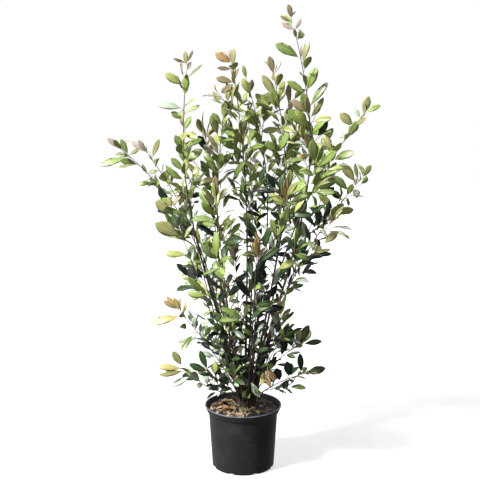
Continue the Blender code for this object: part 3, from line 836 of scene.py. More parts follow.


# Leaf tints: upper skin, midrib, under skin
# Dark and deep are painted shade; pale is a painted highlight, the sheen of waxy leaves
TINTS = {
    "lime": ((0.300, 0.330, 0.085), (0.400, 0.430, 0.160), (0.340, 0.370, 0.140)),
    "fresh": ((0.185, 0.262, 0.050), (0.300, 0.370, 0.115), (0.250, 0.310, 0.100)),
    "mid": ((0.132, 0.190, 0.042), (0.250, 0.310, 0.095), (0.215, 0.265, 0.095)),
    "dark": ((0.024, 0.050, 0.014), (0.085, 0.125, 0.040), (0.075, 0.105, 0.042)),
    "deep": ((0.003, 0.010, 0.006), (0.018, 0.034, 0.019), (0.015, 0.030, 0.018)),
    "pale": ((0.380, 0.470, 0.340), (0.520, 0.580, 0.460), (0.400, 0.460, 0.340)),
    "olive": ((0.235, 0.230, 0.085), (0.350, 0.320, 0.130), (0.300, 0.280, 0.125)),
    "bronze": ((0.225, 0.180, 0.095), (0.300, 0.200, 0.120), (0.290, 0.225, 0.140)),
    "orange": ((0.430, 0.270, 0.110), (0.500, 0.300, 0.140), (0.450, 0.290, 0.140)),
    "pink": ((0.350, 0.290, 0.235), (0.380, 0.245, 0.205), (0.350, 0.285, 0.240)),
    "gold": ((0.360, 0.300, 0.090), (0.460, 0.380, 0.160), (0.380, 0.320, 0.120)),
}
YOUNG_TINTS = ("olive", "bronze", "orange", "pink", "lime", "gold")
SHADED_TINTS = ("dark", "deep")

# A spray's share of the crown's height, less where it stands in the shade
CROWN_LOW = 0.40
CROWN_TALL = 1.45
TINT_SCATTER = 0.10
SHADE_RIGHT = 0.20
SHADE_BACK = 0.10
SHADE_INSIDE = 0.26

# The chances of each tint in a spray, up to such a share
# Low shares draw mostly the painted shade tints deep and dark, with the painted highlight pale
SPRAY_TINTS = (
    (0.16, {"deep": 6, "dark": 2.4, "mid": 0.8, "pale": 2.6, "olive": 0.5, "lime": 0.3}),
    (0.36, {"deep": 4, "dark": 3, "mid": 1.6, "fresh": 0.4, "pale": 2.0}),
    (0.58, {"deep": 1.6, "dark": 2, "mid": 3.2, "fresh": 2.4, "lime": 0.5, "pale": 0.8}),
    (0.82, {"mid": 2.6, "fresh": 4.4, "lime": 2.0, "olive": 1.6}),
    (math.inf, {"mid": 0.8, "fresh": 3.4, "lime": 2.4, "olive": 2.6, "bronze": 0.4}),
)
LOW_YOUNG = 0.75
LOW_YOUNG_TINTS = {"mid": 3, "olive": 2, "fresh": 1, "bronze": 0.6, "orange": 0.3}
HIGH_YOUNG_TINTS = {"bronze": 1.6, "pink": 2.2, "olive": 3.0, "orange": 0.5, "lime": 1.2,
                    "fresh": 1.3}
NEXT_TO = {
    "lime": ("fresh", "olive"), "fresh": ("lime", "mid"), "mid": ("fresh", "dark"),
    "dark": ("mid", "deep"), "deep": ("dark", "dark"), "pale": ("mid", "fresh"),
    "olive": ("lime", "bronze"), "bronze": ("olive", "orange"), "orange": ("bronze", "lime"),
    "pink": ("bronze", "olive"),
}

LEAVES = {name: Heap() for name in TINTS}
PETIOLES = Heap()
TWIGS = Heap()
BARK = Heap()


def choose(luck, chances):
    """One name, by its chance."""
    names = list(chances)
    return luck.choices(names, [chances[name] for name in names])[0]

def spray_tint(luck, place):
    """The tint of a spray: darker low down, deep in and on the right as painted shade, and brighter
    up and outside, partly as painted light.
    """
    height = (place.z - CROWN_LOW) / CROWN_TALL + TINT_SCATTER * luck.uniform(-1.0, 1.0)
    # Painted shade: a lower share, so a darker tint, on the right low down, at the back and deep
    # inside
    height -= SHADE_RIGHT * max(0.0, place.x + 0.05) / 0.3 * max(0.0, 1.0 - (place.z - 0.3) / 1.1)
    height -= SHADE_BACK * max(0.0, place.y + 0.05) / 0.3
    inside = max(0.0, 1.0 - math.hypot(place.x - CROWN_CENTRE.x - 0.05, place.y) / 0.22)
    height -= SHADE_INSIDE * inside * max(0.0, 1.0 - abs(place.z - 1.05) / 0.40)
    return choose(luck, next(chances for top, chances in SPRAY_TINTS if height < top))


def young_tint(luck, place):
    """The tint of a young leaf at a shoot's tip."""
    return choose(luck, LOW_YOUNG_TINTS if place.z < LOW_YOUNG else HIGH_YOUNG_TINTS)


def near_tint(luck, tint):
    """The same tint, or now and then one next to it."""
    if luck.random() < NEAR_TINT_CHANCE:
        return luck.choice(NEXT_TO[tint])
    return tint


def distance_out(place):
    """How far a place is from the crown's middle line."""
    return math.hypot(place.x - CROWN_CENTRE.x, place.y - CROWN_CENTRE.y)


def leaf_scale(place):
    """Leaves are smaller inside the crown, most of all low down."""
    outer = min(1.0, max(0.0, (distance_out(place) - INNER_RADIUS) / INNER_FADE))
    high = min(1.0, max(0.0, (place.z - SMALL_BELOW) / SMALL_FADE))
    return INNER_LEAF + (1.0 - INNER_LEAF) * max(outer, high)


def fullness(place):
    """The chance that a place between the main leaves carries one too."""
    if place.z < LOW_CROWN:
        return FULL_LOW
    if place.z > HIGH_CROWN:
        return FULL_HIGH
    return 1.0 if distance_out(place) < CORE_RADIUS else FULL_OUTSIDE


class Growth:
    """The leaves and twigs of one shoot."""

    def __init__(self, shoot, course, number):
        self.shoot = shoot
        self.course = course
        self.luck = random.Random(SEED + number)
        self.fine = random.Random(FINE_SEED + number)
        solid = course_of(shoot, LIMB_STEP)
        self.fit = course.length / solid.length
        bare = solid.length * shoot.bare if shoot.bare else LOW_STUB_LENGTH
        self.start = solid.joint(bare) + GAP
        self.end = solid.length - CAD_LEAF * TIP_LEAF_SHARE
        self.gaps = []
        self.placed_from, self.placed = PLACED.get(shoot.name, (math.inf, ""))

    def fine_angle(self, low, high):
        return math.radians(self.fine.uniform(low, high))

    def fine_size(self, low, high):
        return CAD_LEAF * self.fine.uniform(low, high)

    def place_leaves(self):
        """The leaves that show against the white, each where it shows."""
        fine = self.fine
        for row in filter(None, self.placed.split(",")):
            *numbers, tint = row.split()
            distance, x, y, z, wide, roll = [float(number) for number in numbers]
            place = self.course.at(distance / 1000.0)
            way = Vector((x, y, z)) / 1000.0 - place
            reach = way.length
            way.normalize()
            is_young = tint in YOUNG_TINTS and reach < PLACED_YOUNG_REACH
            young = PLACED_YOUNG[0 if is_young else 1]
            stalk = fine.uniform(*PLACED_STALK) * reach
            blade = Blade(reach - stalk, wide / 100.0 * PLACED_WIDER,
                          fine.uniform(*PLACED_ARCH), fine.uniform(*PLACED_FOLD),
                          fine.uniform(-PLACED_TWIST, PLACED_TWIST), fine.uniform(0.0, ROUND))
            around = facing_at(place) - SUNWARD * FACE_SUN
            facing = PLACED_FACING + PLACED_FACE_SHARE * around
            side = fine.choice((-1, 1))
            for turn in PLACED_TRIES:
                if self.try_leaf(place, place + way * stalk, way, blade, facing,
                                 side * math.radians(roll + turn), tint, young):
                    break

    def is_placed(self, place, way):
        """True for growth across the view where the leaves are placed one by one."""
        if self.placed_from == math.inf or abs(way.normalized().y) > ACROSS_VIEW:
            return False
        return self.course.mark_near(place) > self.placed_from

    def try_leaf(self, place, root, way, blade, facing, roll, tint, young):
        """A leaf and its stalk, if the blade is clear and in the box."""
        here = aim(root, way, facing, roll)
        rough = moved(blade_shape(blade, ROUGH_ROWS, ROUGH_COLUMNS).reshape(-1, 3), here)
        if (rough < LEAF_LOW).any() or (rough > LEAF_HIGH).any():
            return False
        if not SPACE.is_clear(rough, ROUGH_FACES):
            return False
        SPACE.add(rough, ROUGH_FACES)
        LEAVES[tint].add(moved(leaf_points(blade), here), LEAF_FACES, LEAF_SLOTS)
        self.add_stalk(place, root, way, young)
        return True

    def add_leaf(self, place, direction, tint, reach, young=0.0, roll=None):
        """One leaf on its stalk, if it is clear and in its space."""
        fine = self.fine
        reach *= leaf_scale(place)
        flatter = 1.0 - YOUNG_FLATTER * young
        stalk = fine.uniform(*LEAF_STALK) * reach * flatter
        wide = fine.uniform(*LEAF_WIDE) * (1.0 - YOUNG_NARROWER * young)
        blade = Blade(reach - stalk, wide, fine.uniform(*LEAF_ARCH) * flatter,
                      fine.uniform(*LEAF_FOLD) + YOUNG_FOLD * young,
                      fine.uniform(-LEAF_TWIST, LEAF_TWIST), fine.uniform(0.0, ROUND))
        jitter = FACE_JITTER if roll is None else MAIN_JITTER
        if roll is None:
            roll = fine.uniform(-LEAF_ROLL, LEAF_ROLL)
        facing = facing_at(place) + Vector([fine.uniform(-jitter, jitter) for i in range(3)])
        for i in range(LEAF_TRIES):
            way = Matrix.Rotation(LEAF_TRY_TURN * i * (-1) ** i, 3, "Z") @ direction
            way.normalize()
            if self.course.gap_to(place + way * reach) > MASS_REACH or self.is_placed(place, way):
                continue
            if self.try_leaf(place, place + way * stalk, way, blade, facing, roll, tint, young):
                return

    def add_fine_leaf(self, line, distance, turn, tint, sizes):
        """A leaf on a twig that only the looks have."""
        way = outward(line.heading(distance), turn, self.fine_angle(*FINE_ANGLES))
        self.add_leaf(line.at(distance), way, near_tint(self.fine, tint), self.fine_size(*sizes))

    def add_main_leaf(self, place, direction, tint, young=0.0):
        """A leaf that the solids have too, with their size and roll."""
        reach = CAD_LEAF * self.luck.uniform(*LEAF_SIZES)
        roll = self.luck.uniform(-LEAF_ROLL, LEAF_ROLL)
        self.add_leaf(place, direction, tint, reach, young, roll)

    def add_stalk(self, place, root, way, young):
        """A petiole that leaves the stem and turns into the blade's midrib."""
        thick = STALK_RADII[0 if young < 0.5 else 1]
        sag = UP * (root - place).length * 0.10
        run = [place, place.lerp(root, 0.5) - sag, root + way * 0.004]
        PETIOLES.add(*rings(run, (thick * 1.5, thick, thick * 0.8), STALK_SIDES), 0)

    def add_cluster(self, place, heading):
        """The young leaves round a twig's tip."""
        turn = self.fine.uniform(0.0, ROUND)
        tint = young_tint(self.fine, place)
        for i in range(CLUSTER_COUNT):
            turn += GOLDEN_TURN
            angle = self.fine_angle(*CLUSTER_ANGLES)
            size = CLUSTER_LEAF * self.fine.uniform(*CLUSTER_SIZES)
            self.add_leaf(place - heading * CLUSTER_STEP * i, outward(heading, turn, angle),
                          near_tint(self.fine, tint), size, CLUSTER_YOUNG)

    def twig_line(self, place, direction, length, thick):
        """A twig that bends upwards, if it is clear."""
        if self.is_placed(place, direction):
            return None
        bend = place + direction * length / 2
        tip = bend + (direction + TWIG_RISE * UP).normalized() * length / 2
        lower = cubic(place, bend, direction * length / 2, (tip - place) / 2, FINE_STEP)
        upper = cubic(bend, tip, (tip - place) / 2, (tip - bend), FINE_STEP)
        line = Line(lower + upper[1:])
        count = len(line.points)
        radii = np.linspace(thick, thick * TWIG_TAPER, count)
        points, faces = rings(line.points, radii, TWIG_SIDES)
        if not SPACE.is_clear(points[2 * TWIG_SIDES:], ring_faces(count - 2, TWIG_SIDES)):
            return None
        SPACE.add(points, faces)
        TWIGS.add(points, faces, 0)
        return line

    def add_main_twig(self, place, direction, length):
        """A twig that the solids have too, with their leaves on it."""
        line = self.twig_line(place, direction, length, TWIG_RADIUS)
        if not line:
            return False
        tint = spray_tint(self.fine, line.at(line.length))
        turn = self.luck.uniform(0.0, 2 * math.pi)
        for share in TWIG_LEAVES:
            turn += GOLDEN_TURN
            distance = share * line.length
            way = outward(line.heading(distance), turn, LEAF_ANGLE)
            self.add_main_leaf(line.at(distance), way, near_tint(self.fine, tint))
        heading = line.heading(line.length)
        self.add_main_leaf(line.at(line.length), heading, near_tint(self.fine, tint), 0.3)
        self.gaps.append((self.fill_twig, line, tint, turn))
        return True

    def fill_twig(self, line, tint, turn):
        """Finer leaves between the main ones of a twig, and young ones at its tip."""
        full = fullness(line.at(0.0))
        for share in FINE_TWIG_LEAVES:
            turn += GOLDEN_TURN
            if self.fine.random() > full:
                continue
            self.add_fine_leaf(line, share * line.length, turn, tint, FILL_SIZES)
        if self.fine.random() < full:
            self.add_cluster(line.at(line.length), line.heading(line.length))

    def add_spur(self, place, direction, length):
        """A short twig with a few leaves."""
        line = self.twig_line(place, direction, length, SPUR_RADIUS)
        if not line:
            return False
        tint = spray_tint(self.fine, place)
        turn = self.fine.uniform(0.0, ROUND)
        distance = SPUR_STEP * self.fine.uniform(0.6, 1.0)
        while distance < line.length - SPUR_END:
            turn += GOLDEN_TURN
            self.add_fine_leaf(line, distance, turn, tint, SPUR_SIZES)
            distance += SPUR_STEP * self.fine.uniform(0.8, 1.2)
        self.add_leaf(line.at(line.length), line.heading(line.length),
                      near_tint(self.fine, tint), self.fine_size(*SPUR_TIP_SIZES), 0.3)
        return True

    def grow(self):
        """Leaves and twigs by turns up the stem, as in the solids."""
        shoot = self.shoot
        step = LEAF_STEP if shoot.bare else LOW_LEAF_STEP
        turn = self.luck.uniform(0.0, 2 * math.pi)
        count = int((self.end - self.start) / step)
        for i in range(count):
            distance = (self.start + (i + FIRST_LEAF) * step) * self.fit
            turn += GOLDEN_TURN
            place = self.course.at(distance)
            heading = self.course.heading(distance)
            for share, further in BETWEEN_STEPS:
                gap = (self.fill_between, distance + step * share, turn + math.pi + further)
                self.gaps.append(gap)
            if i % TWIG_EVERY == 0 and i < count - TWIGLESS_TIP:
                length = shoot.twig * self.luck.uniform(*TWIG_SIZES)
                if self.add_main_twig(place, outward(heading, turn, TWIG_ANGLE), length):
                    continue
            way = outward(heading, turn, LEAF_ANGLE)
            self.add_main_leaf(place, way, spray_tint(self.fine, place))
        end = self.end * self.fit
        place = self.course.at(end)
        tint = young_tint(self.fine, place)
        self.add_main_leaf(place, self.course.heading(end), tint, TIP_YOUNG)

    def refine(self):
        """Finer growth between the leaves and twigs that the solids have."""
        for fill, *gap in self.gaps:
            fill(*gap)
        self.grow_tip(self.end * self.fit)

    def fill_between(self, distance, turn):
        """A leaf or a short twig between two main ones."""
        place = self.course.at(distance)
        if self.fine.random() > fullness(place):
            return
        way = outward(self.course.heading(distance), turn, self.fine_angle(*BETWEEN_ANGLES))
        if self.fine.random() < BETWEEN_SPURS:
            if self.add_spur(place, way, self.fine.uniform(*BETWEEN_LENGTHS)):
                return
        self.add_leaf(place, way, spray_tint(self.fine, place), self.fine_size(*BETWEEN_SIZES))

    def grow_tip(self, end):
        """Young leaves round the shoot's last one."""
        turn = self.fine.uniform(0.0, ROUND)
        heading = self.course.heading(end)
        for i in range(TIP_COUNT):
            turn += GOLDEN_TURN
            place = self.course.at(end - TIP_STEP * (TIP_COUNT - 1 - i))
            way = outward(heading, turn, math.radians(TIP_ANGLE - TIP_ANGLE_STEP * i))
            tint = young_tint(self.fine, place)
            self.add_leaf(place, way, tint, self.fine_size(*TIP_SIZES), TIP_YOUNG)

    def grow_spurs(self):
        """Short leafy twigs on the lower part of a bough."""
        if not self.shoot.bare:
            return
        fine = self.fine
        distance = fine.uniform(*FIRST_SPUR)
        turn = fine.uniform(0.0, ROUND)
        while distance < self.start * self.fit - 0.03:
            turn += GOLDEN_TURN
            place = self.course.at(distance)
            heading = self.course.heading(distance)
            if fine.random() < SPUR_CHANCE:
                way = outward(heading, turn, SPUR_ANGLE)
                self.add_spur(place, way, fine.uniform(*SPUR_LENGTHS))
            closer = LOW_SPURS_CLOSER if distance < LOW_SPURS else 1.0
            distance += fine.uniform(*SPUR_GAPS) * closer


def stem_relief(count, sides, luck):
    """Ridges along a stem, knuckles where leaves have been, and a fine roughness."""
    rough = luck.normal(0.0, 1.0, (count + 8, sides))
    run = np.array([1, 2, 3, 4, 5, 4, 3, 2, 1]) / 25.0
    ridges = np.stack([np.convolve(rough[:, i], run, mode="valid") for i in range(sides)], axis=1)
    knuckles = 0.09 * (luck.random((count, 1)) > 0.78)
    return 1.0 + 0.14 * ridges + knuckles + 0.015 * luck.normal(0.0, 1.0, (count, sides))


def build_stem(shoot, course, number):
    """A shoot's whole stem, with bark relief, from the soil to its tip."""
    end = course.length - CAD_LEAF * TIP_LEAF_SHARE * 0.9
    count = round(end / FINE_STEP)
    distances = np.linspace(0.0, end, count + 1)
    radii = np.array([limb_radius(shoot, course, d) for d in distances])
    flare = np.clip(1.0 - distances / FOOT_FLARE_LENGTH, 0.0, 1.0) ** 2
    radii *= 1.0 + (FOOT_FLARE - 1.0) * flare
    radii *= STEM_SLIM + (1.0 - STEM_SLIM) * np.clip(1.0 - distances / (0.7 * end), 0.0, 1.0)
    places = [course.at(float(d)) for d in distances]
    luck = np.random.default_rng(FINE_SEED + number)
    points, faces = rings(places, radii, STEM_SIDES, stem_relief(count + 1, STEM_SIDES, luck))
    points[:, 2] = np.maximum(points[:, 2], SOIL_TOP - STEM_SUNK)
    middle = (distances[:-1] + distances[1:]) / 2
    # Bark by age; the oldest is also darkened as painted shade
    bark_age_and_shade = np.where(middle < OLD_SHADED_BARK * end, 0, np.where(middle < BROWN_BARK * end, 1, 2))
    BARK.add(points, faces, np.repeat(bark_age_and_shade, STEM_SIDES))
    SPACE.add(points, faces)


def crown_radius(row, height, angle, ways):
    """The woody crown's radius: lower ridges, lumps and a grain, and a rounded top."""
    base = CROWN_TOP_RADIUS + (CROWN_FLARE * 0.80 - CROWN_TOP_RADIUS) * (1.0 - row) ** 1.7
    if row > CROWN_CAP:
        base *= math.sqrt(max(0.02, 1.0 - ((row - CROWN_CAP) / 0.1) ** 2))
    ridge = sum(math.exp(-((math.remainder(angle - way, 2 * math.pi) / CROWN_RIDGE) ** 2))
                for way in ways)
    x = math.cos(angle)
    y = math.sin(angle)
    lump = noise.noise(Vector((x * 2.2, y * 2.2, height * 45.0)))
    grain = noise.noise(Vector((x * 11.0, y * 11.0, height * 90.0)))
    return base * (1.0 + 0.10 * min(ridge, 1.6) * (1.0 - row) + 0.12 * lump + 0.05 * grain)


def build_crown(feet):
    """The woody crown at the soil, with a root ridge under the first shoots."""
    ways = [math.atan2(foot.y - CROWN_CENTRE.y, foot.x - CROWN_CENTRE.x) for foot in feet]
    points = []
    for row in np.linspace(0.0, 1.0, CROWN_RINGS):
        height = SOIL_TOP - CROWN_SUNK + (CROWN_HEIGHT + 0.004) * row
        for angle in np.arange(CROWN_SIDES) * 2 * math.pi / CROWN_SIDES:
            radius = crown_radius(row, height, angle, ways[:CROWN_RIDGES])
            points.append((CROWN_CENTRE.x + radius * math.cos(angle),
                           CROWN_CENTRE.y + radius * math.sin(angle), height))
    points = np.array(points)
    faces = ring_faces(CROWN_RINGS, CROWN_SIDES)
    BARK.add(points, faces, 0)
    SPACE.add(points, faces)


def lathe(name, profile, sides):
    """A body of revolution round Z, from a profile whose two ends are on the axis."""
    bm = bmesh.new()
    turn = [2 * math.pi * i / sides for i in range(sides)]
    loops = []
    for radius, height in profile:
        ways = turn if radius > 1e-6 else (0.0,)
        loops.append([bm.verts.new((radius * math.cos(a), radius * math.sin(a), height))
                      for a in ways])
    for low, high in zip(loops, loops[1:]):
        for i in range(sides):
            corners = [ring[j % len(ring)] for ring, j in
                       ((low, i), (low, (i + 1) % sides), (high, (i + 1) % sides), (high, i))]
            bm.faces.new(list(dict.fromkeys(corners)))
    bmesh.ops.recalc_face_normals(bm, faces=bm.faces)
    return put_solid(name, bm)


def arc(centre_r, centre_z, radius, start, end, steps):
    """Points on an arc in a profile, with angles in degrees from +R towards +Z."""
    angles = [math.radians(start + (end - start) * i / steps) for i in range(steps + 1)]
    return [(centre_r + radius * math.cos(a), centre_z + radius * math.sin(a)) for a in angles]


def wall_radius(height):
    """The pot's outer radius at a height below its rim."""
    share = height / (POT_HEIGHT - RIM_HEIGHT)
    return POT_FOOT_RADIUS + (POT_NECK_RADIUS - POT_FOOT_RADIUS) * share


def inner_radius(height):
    """The radius inside the flared rim, where the wall is thin up to its rolled edge."""
    share = min(1.0, max(0.0, (height - RIM_LOW) / (RIM_EDGE - RIM_LOW)))
    neck = wall_radius(RIM_LOW) - POT_WALL
    return neck + (RIM_RADIUS - 2 * RIM_ROUNDING - neck) * share


def cut_notches(body):
    """Cut the drain notches round the pot's foot."""
    cutters = bmesh.new()
    for i in range(NOTCH_COUNT):
        turn = 2 * math.pi * (i + 0.5) / NOTCH_COUNT
        way = Vector((math.sin(turn), -math.cos(turn), 0.0))
        lie = way.to_track_quat("Z", "Y").to_matrix().to_4x4()
        bmesh.ops.create_cone(cutters, cap_ends=True, segments=NOTCH_SIDES,
                              radius1=NOTCH_RADIUS, radius2=NOTCH_RADIUS, depth=NOTCH_DEPTH,
                              matrix=Matrix.Translation(way * POT_FOOT_RADIUS) @ lie)
    cutter = put_solid("notches", cutters)
    take = body.modifiers.new("take", "BOOLEAN")
    take.operation = "DIFFERENCE"
    take.object = cutter
    bpy.context.view_layer.update()
    seen = body.evaluated_get(bpy.context.evaluated_depsgraph_get())
    made = bpy.data.meshes.new_from_object(seen)
    body.modifiers.clear()
    body.data = made
    bpy.data.objects.remove(cutter, do_unlink=True)


def build_pot():
    """The tub, with a rolled rim and drain notches round its foot."""
    foot = POT_FOOT_BEVEL
    round_off = RIM_ROUNDING
    profile = [(0.0, POT_FLOOR), (wall_radius(POT_FLOOR) - POT_WALL, POT_FLOOR)]
    profile += [(inner_radius(z), z) for z in np.linspace(RIM_LOW, RIM_EDGE, RIM_ROWS)]
    profile += arc(RIM_RADIUS - round_off, RIM_EDGE, round_off, 130, 0, 10)
    profile += arc(RIM_LOW_RADIUS - round_off, RIM_LOW + round_off, round_off, -10, -90, 8)
    profile += [(wall_radius(RIM_LOW) + RIM_LEDGE, RIM_LOW),
                (wall_radius(RIM_LOW), RIM_LOW - RIM_LEDGE)]
    for i in range(WALL_ROWS):
        height = RIM_LOW - WALL_TOP - (RIM_LOW - WALL_TOP - WALL_FOOT) * i / (WALL_ROWS - 1)
        profile.append((wall_radius(height), height))
    profile += arc(wall_radius(foot) - foot, foot, foot, 0, -90, 6)
    profile += [(0.0, 0.0)]
    body = lathe("nursery_pot", profile, POT_SIDES)
    cut_notches(body)
    body.data.shade_smooth()
    body.data.set_sharp_from_angle(angle=math.radians(40))
    body.data.materials.clear()
    body.data.materials.append(pot_look())
    return body


def pot_look():
    """Charcoal polythene: scuffs, dust, fine moulding lines and a painted bluish highlight on the
    rim's top.
    """
    look = Look("pot_plastic_look")
    dust = look.noise(9.0, 5.0, 0.65)
    scratch = look.noise(1.0, 4.0, 0.6, look.stretched(22.0, 22.0, 160.0))
    part = look.node("ShaderNodeMath", {0: scratch, 1: 0.3}, operation="MULTIPLY")
    blend = look.node("ShaderNodeMath", {0: dust, 1: 0.7, 2: part.outputs[0]},
                      operation="MULTIPLY_ADD").outputs[0]
    plain = look.ramp(blend, (0.30, (0.008, 0.0075, 0.009)), (0.52, (0.013, 0.012, 0.014)),
                      (0.78, (0.032, 0.030, 0.034)))
    # A painted highlight: a lighter bluish colour mixed in by height along the rim's top edge
    rim_highlight_colour = look.ramp(scratch, (0.35, (0.050, 0.055, 0.070)), (0.65, (0.150, 0.165, 0.200)))
    height = look.node("ShaderNodeSeparateXYZ", {0: look.place}).outputs["Z"]
    edge = look.spread(height, 0.0, 1.0, *(POT_HEIGHT - below for below in RIM_HIGHLIGHT_BAND))
    rim_highlit_colour = look.node("ShaderNodeMix", {"Factor": edge, "A": plain, "B": rim_highlight_colour}, data_type="RGBA")
    look.set("Base Color", socket(rim_highlit_colour.outputs, "Result"))
    look.set("Roughness", look.spread(blend, 0.30, 0.46))
    look.set("Specular IOR Level", 0.30)
    first = look.bump(scratch, 0.10, 0.0006)
    look.bump(look.noise(260.0, 2.0), 0.08, 0.0004, first)
    return look.material


def soil_look():
    """Dark potting mix with paler crumbs."""
    stops = ((0.30, (0.004, 0.003, 0.002)), (0.50, (0.016, 0.010, 0.007)),
             (0.66, (0.040, 0.027, 0.018)), (0.80, (0.110, 0.078, 0.050)))
    return grained_look("potting_mix_look", (70.0, 6.0, 0.7), None, stops, (0.85, 0.98),
                        (0.9, 0.004), ((330.0, 3.0, 0.55), None, (0.6, 0.0015)))


def soil_height(x, y):
    """The height of the soil's lumpy surface."""
    far = math.hypot(x, y)
    lumps = noise.noise(Vector((x * 38.0, y * 38.0, 3.1))) * 0.6
    crumbs = noise.noise(Vector((x * 120.0, y * 120.0, 7.7))) * 0.35
    fall = SOIL_FALL * max(0.0, (far - SOIL_FALL_FROM) / SOIL_FALL_WIDTH) ** 1.5
    return SOIL_TOP - SOIL_SINK - fall + SOIL_LUMP * (lumps + crumbs)


def build_soil():
    """Lumpy potting mix that fills the pot to a little under its rim."""
    edge = inner_radius(SOIL_TOP - SOIL_SINK) - 0.0008
    radii = edge * np.linspace(0.0, 1.0, SOIL_RINGS) ** 0.8
    profile = [(float(r), SOIL_TOP) for r in radii]
    low = POT_FLOOR + 0.0006
    profile += [(inner_radius(RIM_LOW) - SOIL_GAP, RIM_LOW),
                (wall_radius(low) - POT_WALL - SOIL_GAP, low), (0.0, low)]
    body = lathe("potting_mix", profile, SOIL_SIDES)
    for vertex in body.data.vertices:
        if vertex.co.z > SOIL_TOP - 0.001:
            vertex.co.z = soil_height(vertex.co.x, vertex.co.y)
    body.data.shade_smooth()
    body.data.set_sharp_from_angle(angle=math.radians(60))
    body.data.materials.append(soil_look())
    return body


def chip_look(name, dark, light):
    """Bark with a grain along the chip."""
    return grained_look(name, (1.0, 4.0, 0.6), (90.0, 220.0, 220.0),
                        ((0.3, dark), (0.7, light)), (0.7, 0.95), (0.5, 0.0015))


def chip_shape(luck):
    """A chip's points and faces: rough six-sided sections along X, and two ends."""
    size = luck.uniform(0.006, 0.020)
    half = np.array((size, size * luck.uniform(0.22, 0.55), size * luck.uniform(0.08, 0.20)))
    points = []
    for t in np.linspace(-1.0, 1.0, CHIP_ROWS):
        lean = luck.uniform(-0.2, 0.2)
        wide = (1.0 - 0.45 * abs(t) ** 2.5) * luck.uniform(0.8, 1.1)
        for side, rise in CHIP_OUTLINE:
            points.append((t * half[0], (side * wide + lean) * half[1],
                           (rise - t * t) * half[2] * luck.uniform(0.8, 1.2)))
    ends = np.array(CHIP_ENDS)
    last = ends[:, ::-1] + (CHIP_ROWS - 1) * len(CHIP_OUTLINE)
    faces = ring_faces(CHIP_ROWS, len(CHIP_OUTLINE))
    return np.array(points), np.concatenate([faces, ends, last])


def build_chips():
    """Bark chips strewn on the soil, dark ones and clumps of tan ones, fewer tan to the right as
    painted shade.
    """
    luck = random.Random(CHIP_SEED)
    heap = Heap()
    for i in range(CHIP_COUNT):
        far = CHIP_SPREAD * math.sqrt(luck.random())
        turn = luck.uniform(0.0, 2 * math.pi)
        x = far * math.cos(turn)
        y = far * math.sin(turn)
        if math.hypot(x - CROWN_CENTRE.x, y - CROWN_CENTRE.y) < 0.045:
            continue
        points, faces = chip_shape(luck)
        tilt = Matrix.Rotation(luck.uniform(0.0, ROUND), 4, "Z")
        tilt = tilt @ Matrix.Rotation(luck.uniform(-0.5, 0.5), 4, "X")
        tilt = tilt @ Matrix.Rotation(luck.uniform(-0.4, 0.4), 4, "Y")
        points = moved(points, Matrix.Translation((x, y, soil_height(x, y) + 0.001)) @ tilt)
        if np.hypot(points[:, 0], points[:, 1]).max() > CHIP_EDGE:
            continue
        # Tan chips gather in clumps and thin out to the right, where the soil is darkened as
        # painted shade
        tan_clumping_less_in_painted_shade = noise.noise(Vector((x * 15.0, y * 15.0, 5.3))) + 0.06 - 4.0 * max(0.0, x - 0.01)
        tan = TAN_IN_CLUMPS if tan_clumping_less_in_painted_shade > 0.0 else TAN_ELSEWHERE
        heap.add(points, faces, luck.choice((1, 2, 2)) if luck.random() < tan else 0)
    body = heap.build("bark_chips", (
        chip_look("chip_dark", (0.009, 0.006, 0.004), (0.036, 0.022, 0.015)),
        chip_look("chip_tan", (0.110, 0.064, 0.038), (0.300, 0.190, 0.120)),
        chip_look("chip_pale", (0.170, 0.125, 0.080), (0.420, 0.330, 0.215)),
    ))
    body.data.set_sharp_from_angle(angle=math.radians(40))
    return body


def build_litter():
    """Dry leaves that have dropped on the soil."""
    luck = random.Random(LITTER_SEED)
    heap = Heap()
    for i in range(LITTER_COUNT):
        far = luck.uniform(0.065, 0.118)
        turn = luck.uniform(math.radians(110), math.radians(300))
        x = far * math.cos(turn)
        y = far * math.sin(turn)
        blade = Blade(luck.uniform(0.045, 0.075), luck.uniform(0.19, 0.24), luck.uniform(0.6, 1.5),
                      luck.uniform(0.2, 0.7), luck.uniform(-0.8, 0.8), luck.uniform(0.0, ROUND))
        way = Vector((luck.uniform(-1, 1), luck.uniform(-1, 1), luck.uniform(-0.05, 0.25)))
        place = Vector((x, y, soil_height(x, y) + luck.uniform(0.003, 0.009)))
        place -= way.normalized() * blade.length / 2
        points = moved(leaf_points(blade), aim(place, way, UP, luck.uniform(-0.6, 0.6)))
        if np.hypot(points[:, 0], points[:, 1]).max() > LITTER_EDGE:
            continue
        heap.add(points, LEAF_FACES, luck.choice((0, 1, 2)))
    return heap.build("dry_leaves", (
        leaf_look("dry_brown", (0.230, 0.115, 0.055), 0.75, 0.5),
        leaf_look("dry_tan", (0.450, 0.300, 0.150), 0.75, 0.5),
        leaf_look("dry_green", (0.150, 0.150, 0.070), 0.7, 0.5),
    ))


def settle(piece, slot, *nodes):
    """Fix a piece to the plant, in place of its nodes."""
    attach(piece, "root")
    if nodes:
        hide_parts(*nodes)
    return piece


# Leaves that hang in front of the trunk's foot: place, way, tint and size
# The pale tint is a painted highlight and the dark one painted shade
FOOT_LEAVES = (
    ((0.022, -0.010, 0.375), (-0.05, -0.85, -0.55), "fresh", 0.100),
    ((0.040, -0.012, 0.385), (0.28, -0.75, -0.60), "pale", 0.105),
    ((0.105, -0.020, 0.435), (0.35, -0.60, -0.70), "dark", 0.095),
    ((0.080, -0.020, 0.430), (0.20, -0.90, -0.20), "orange", 0.080),
    ((0.080, -0.020, 0.432), (0.60, -0.70, 0.10), "bronze", 0.075),
)


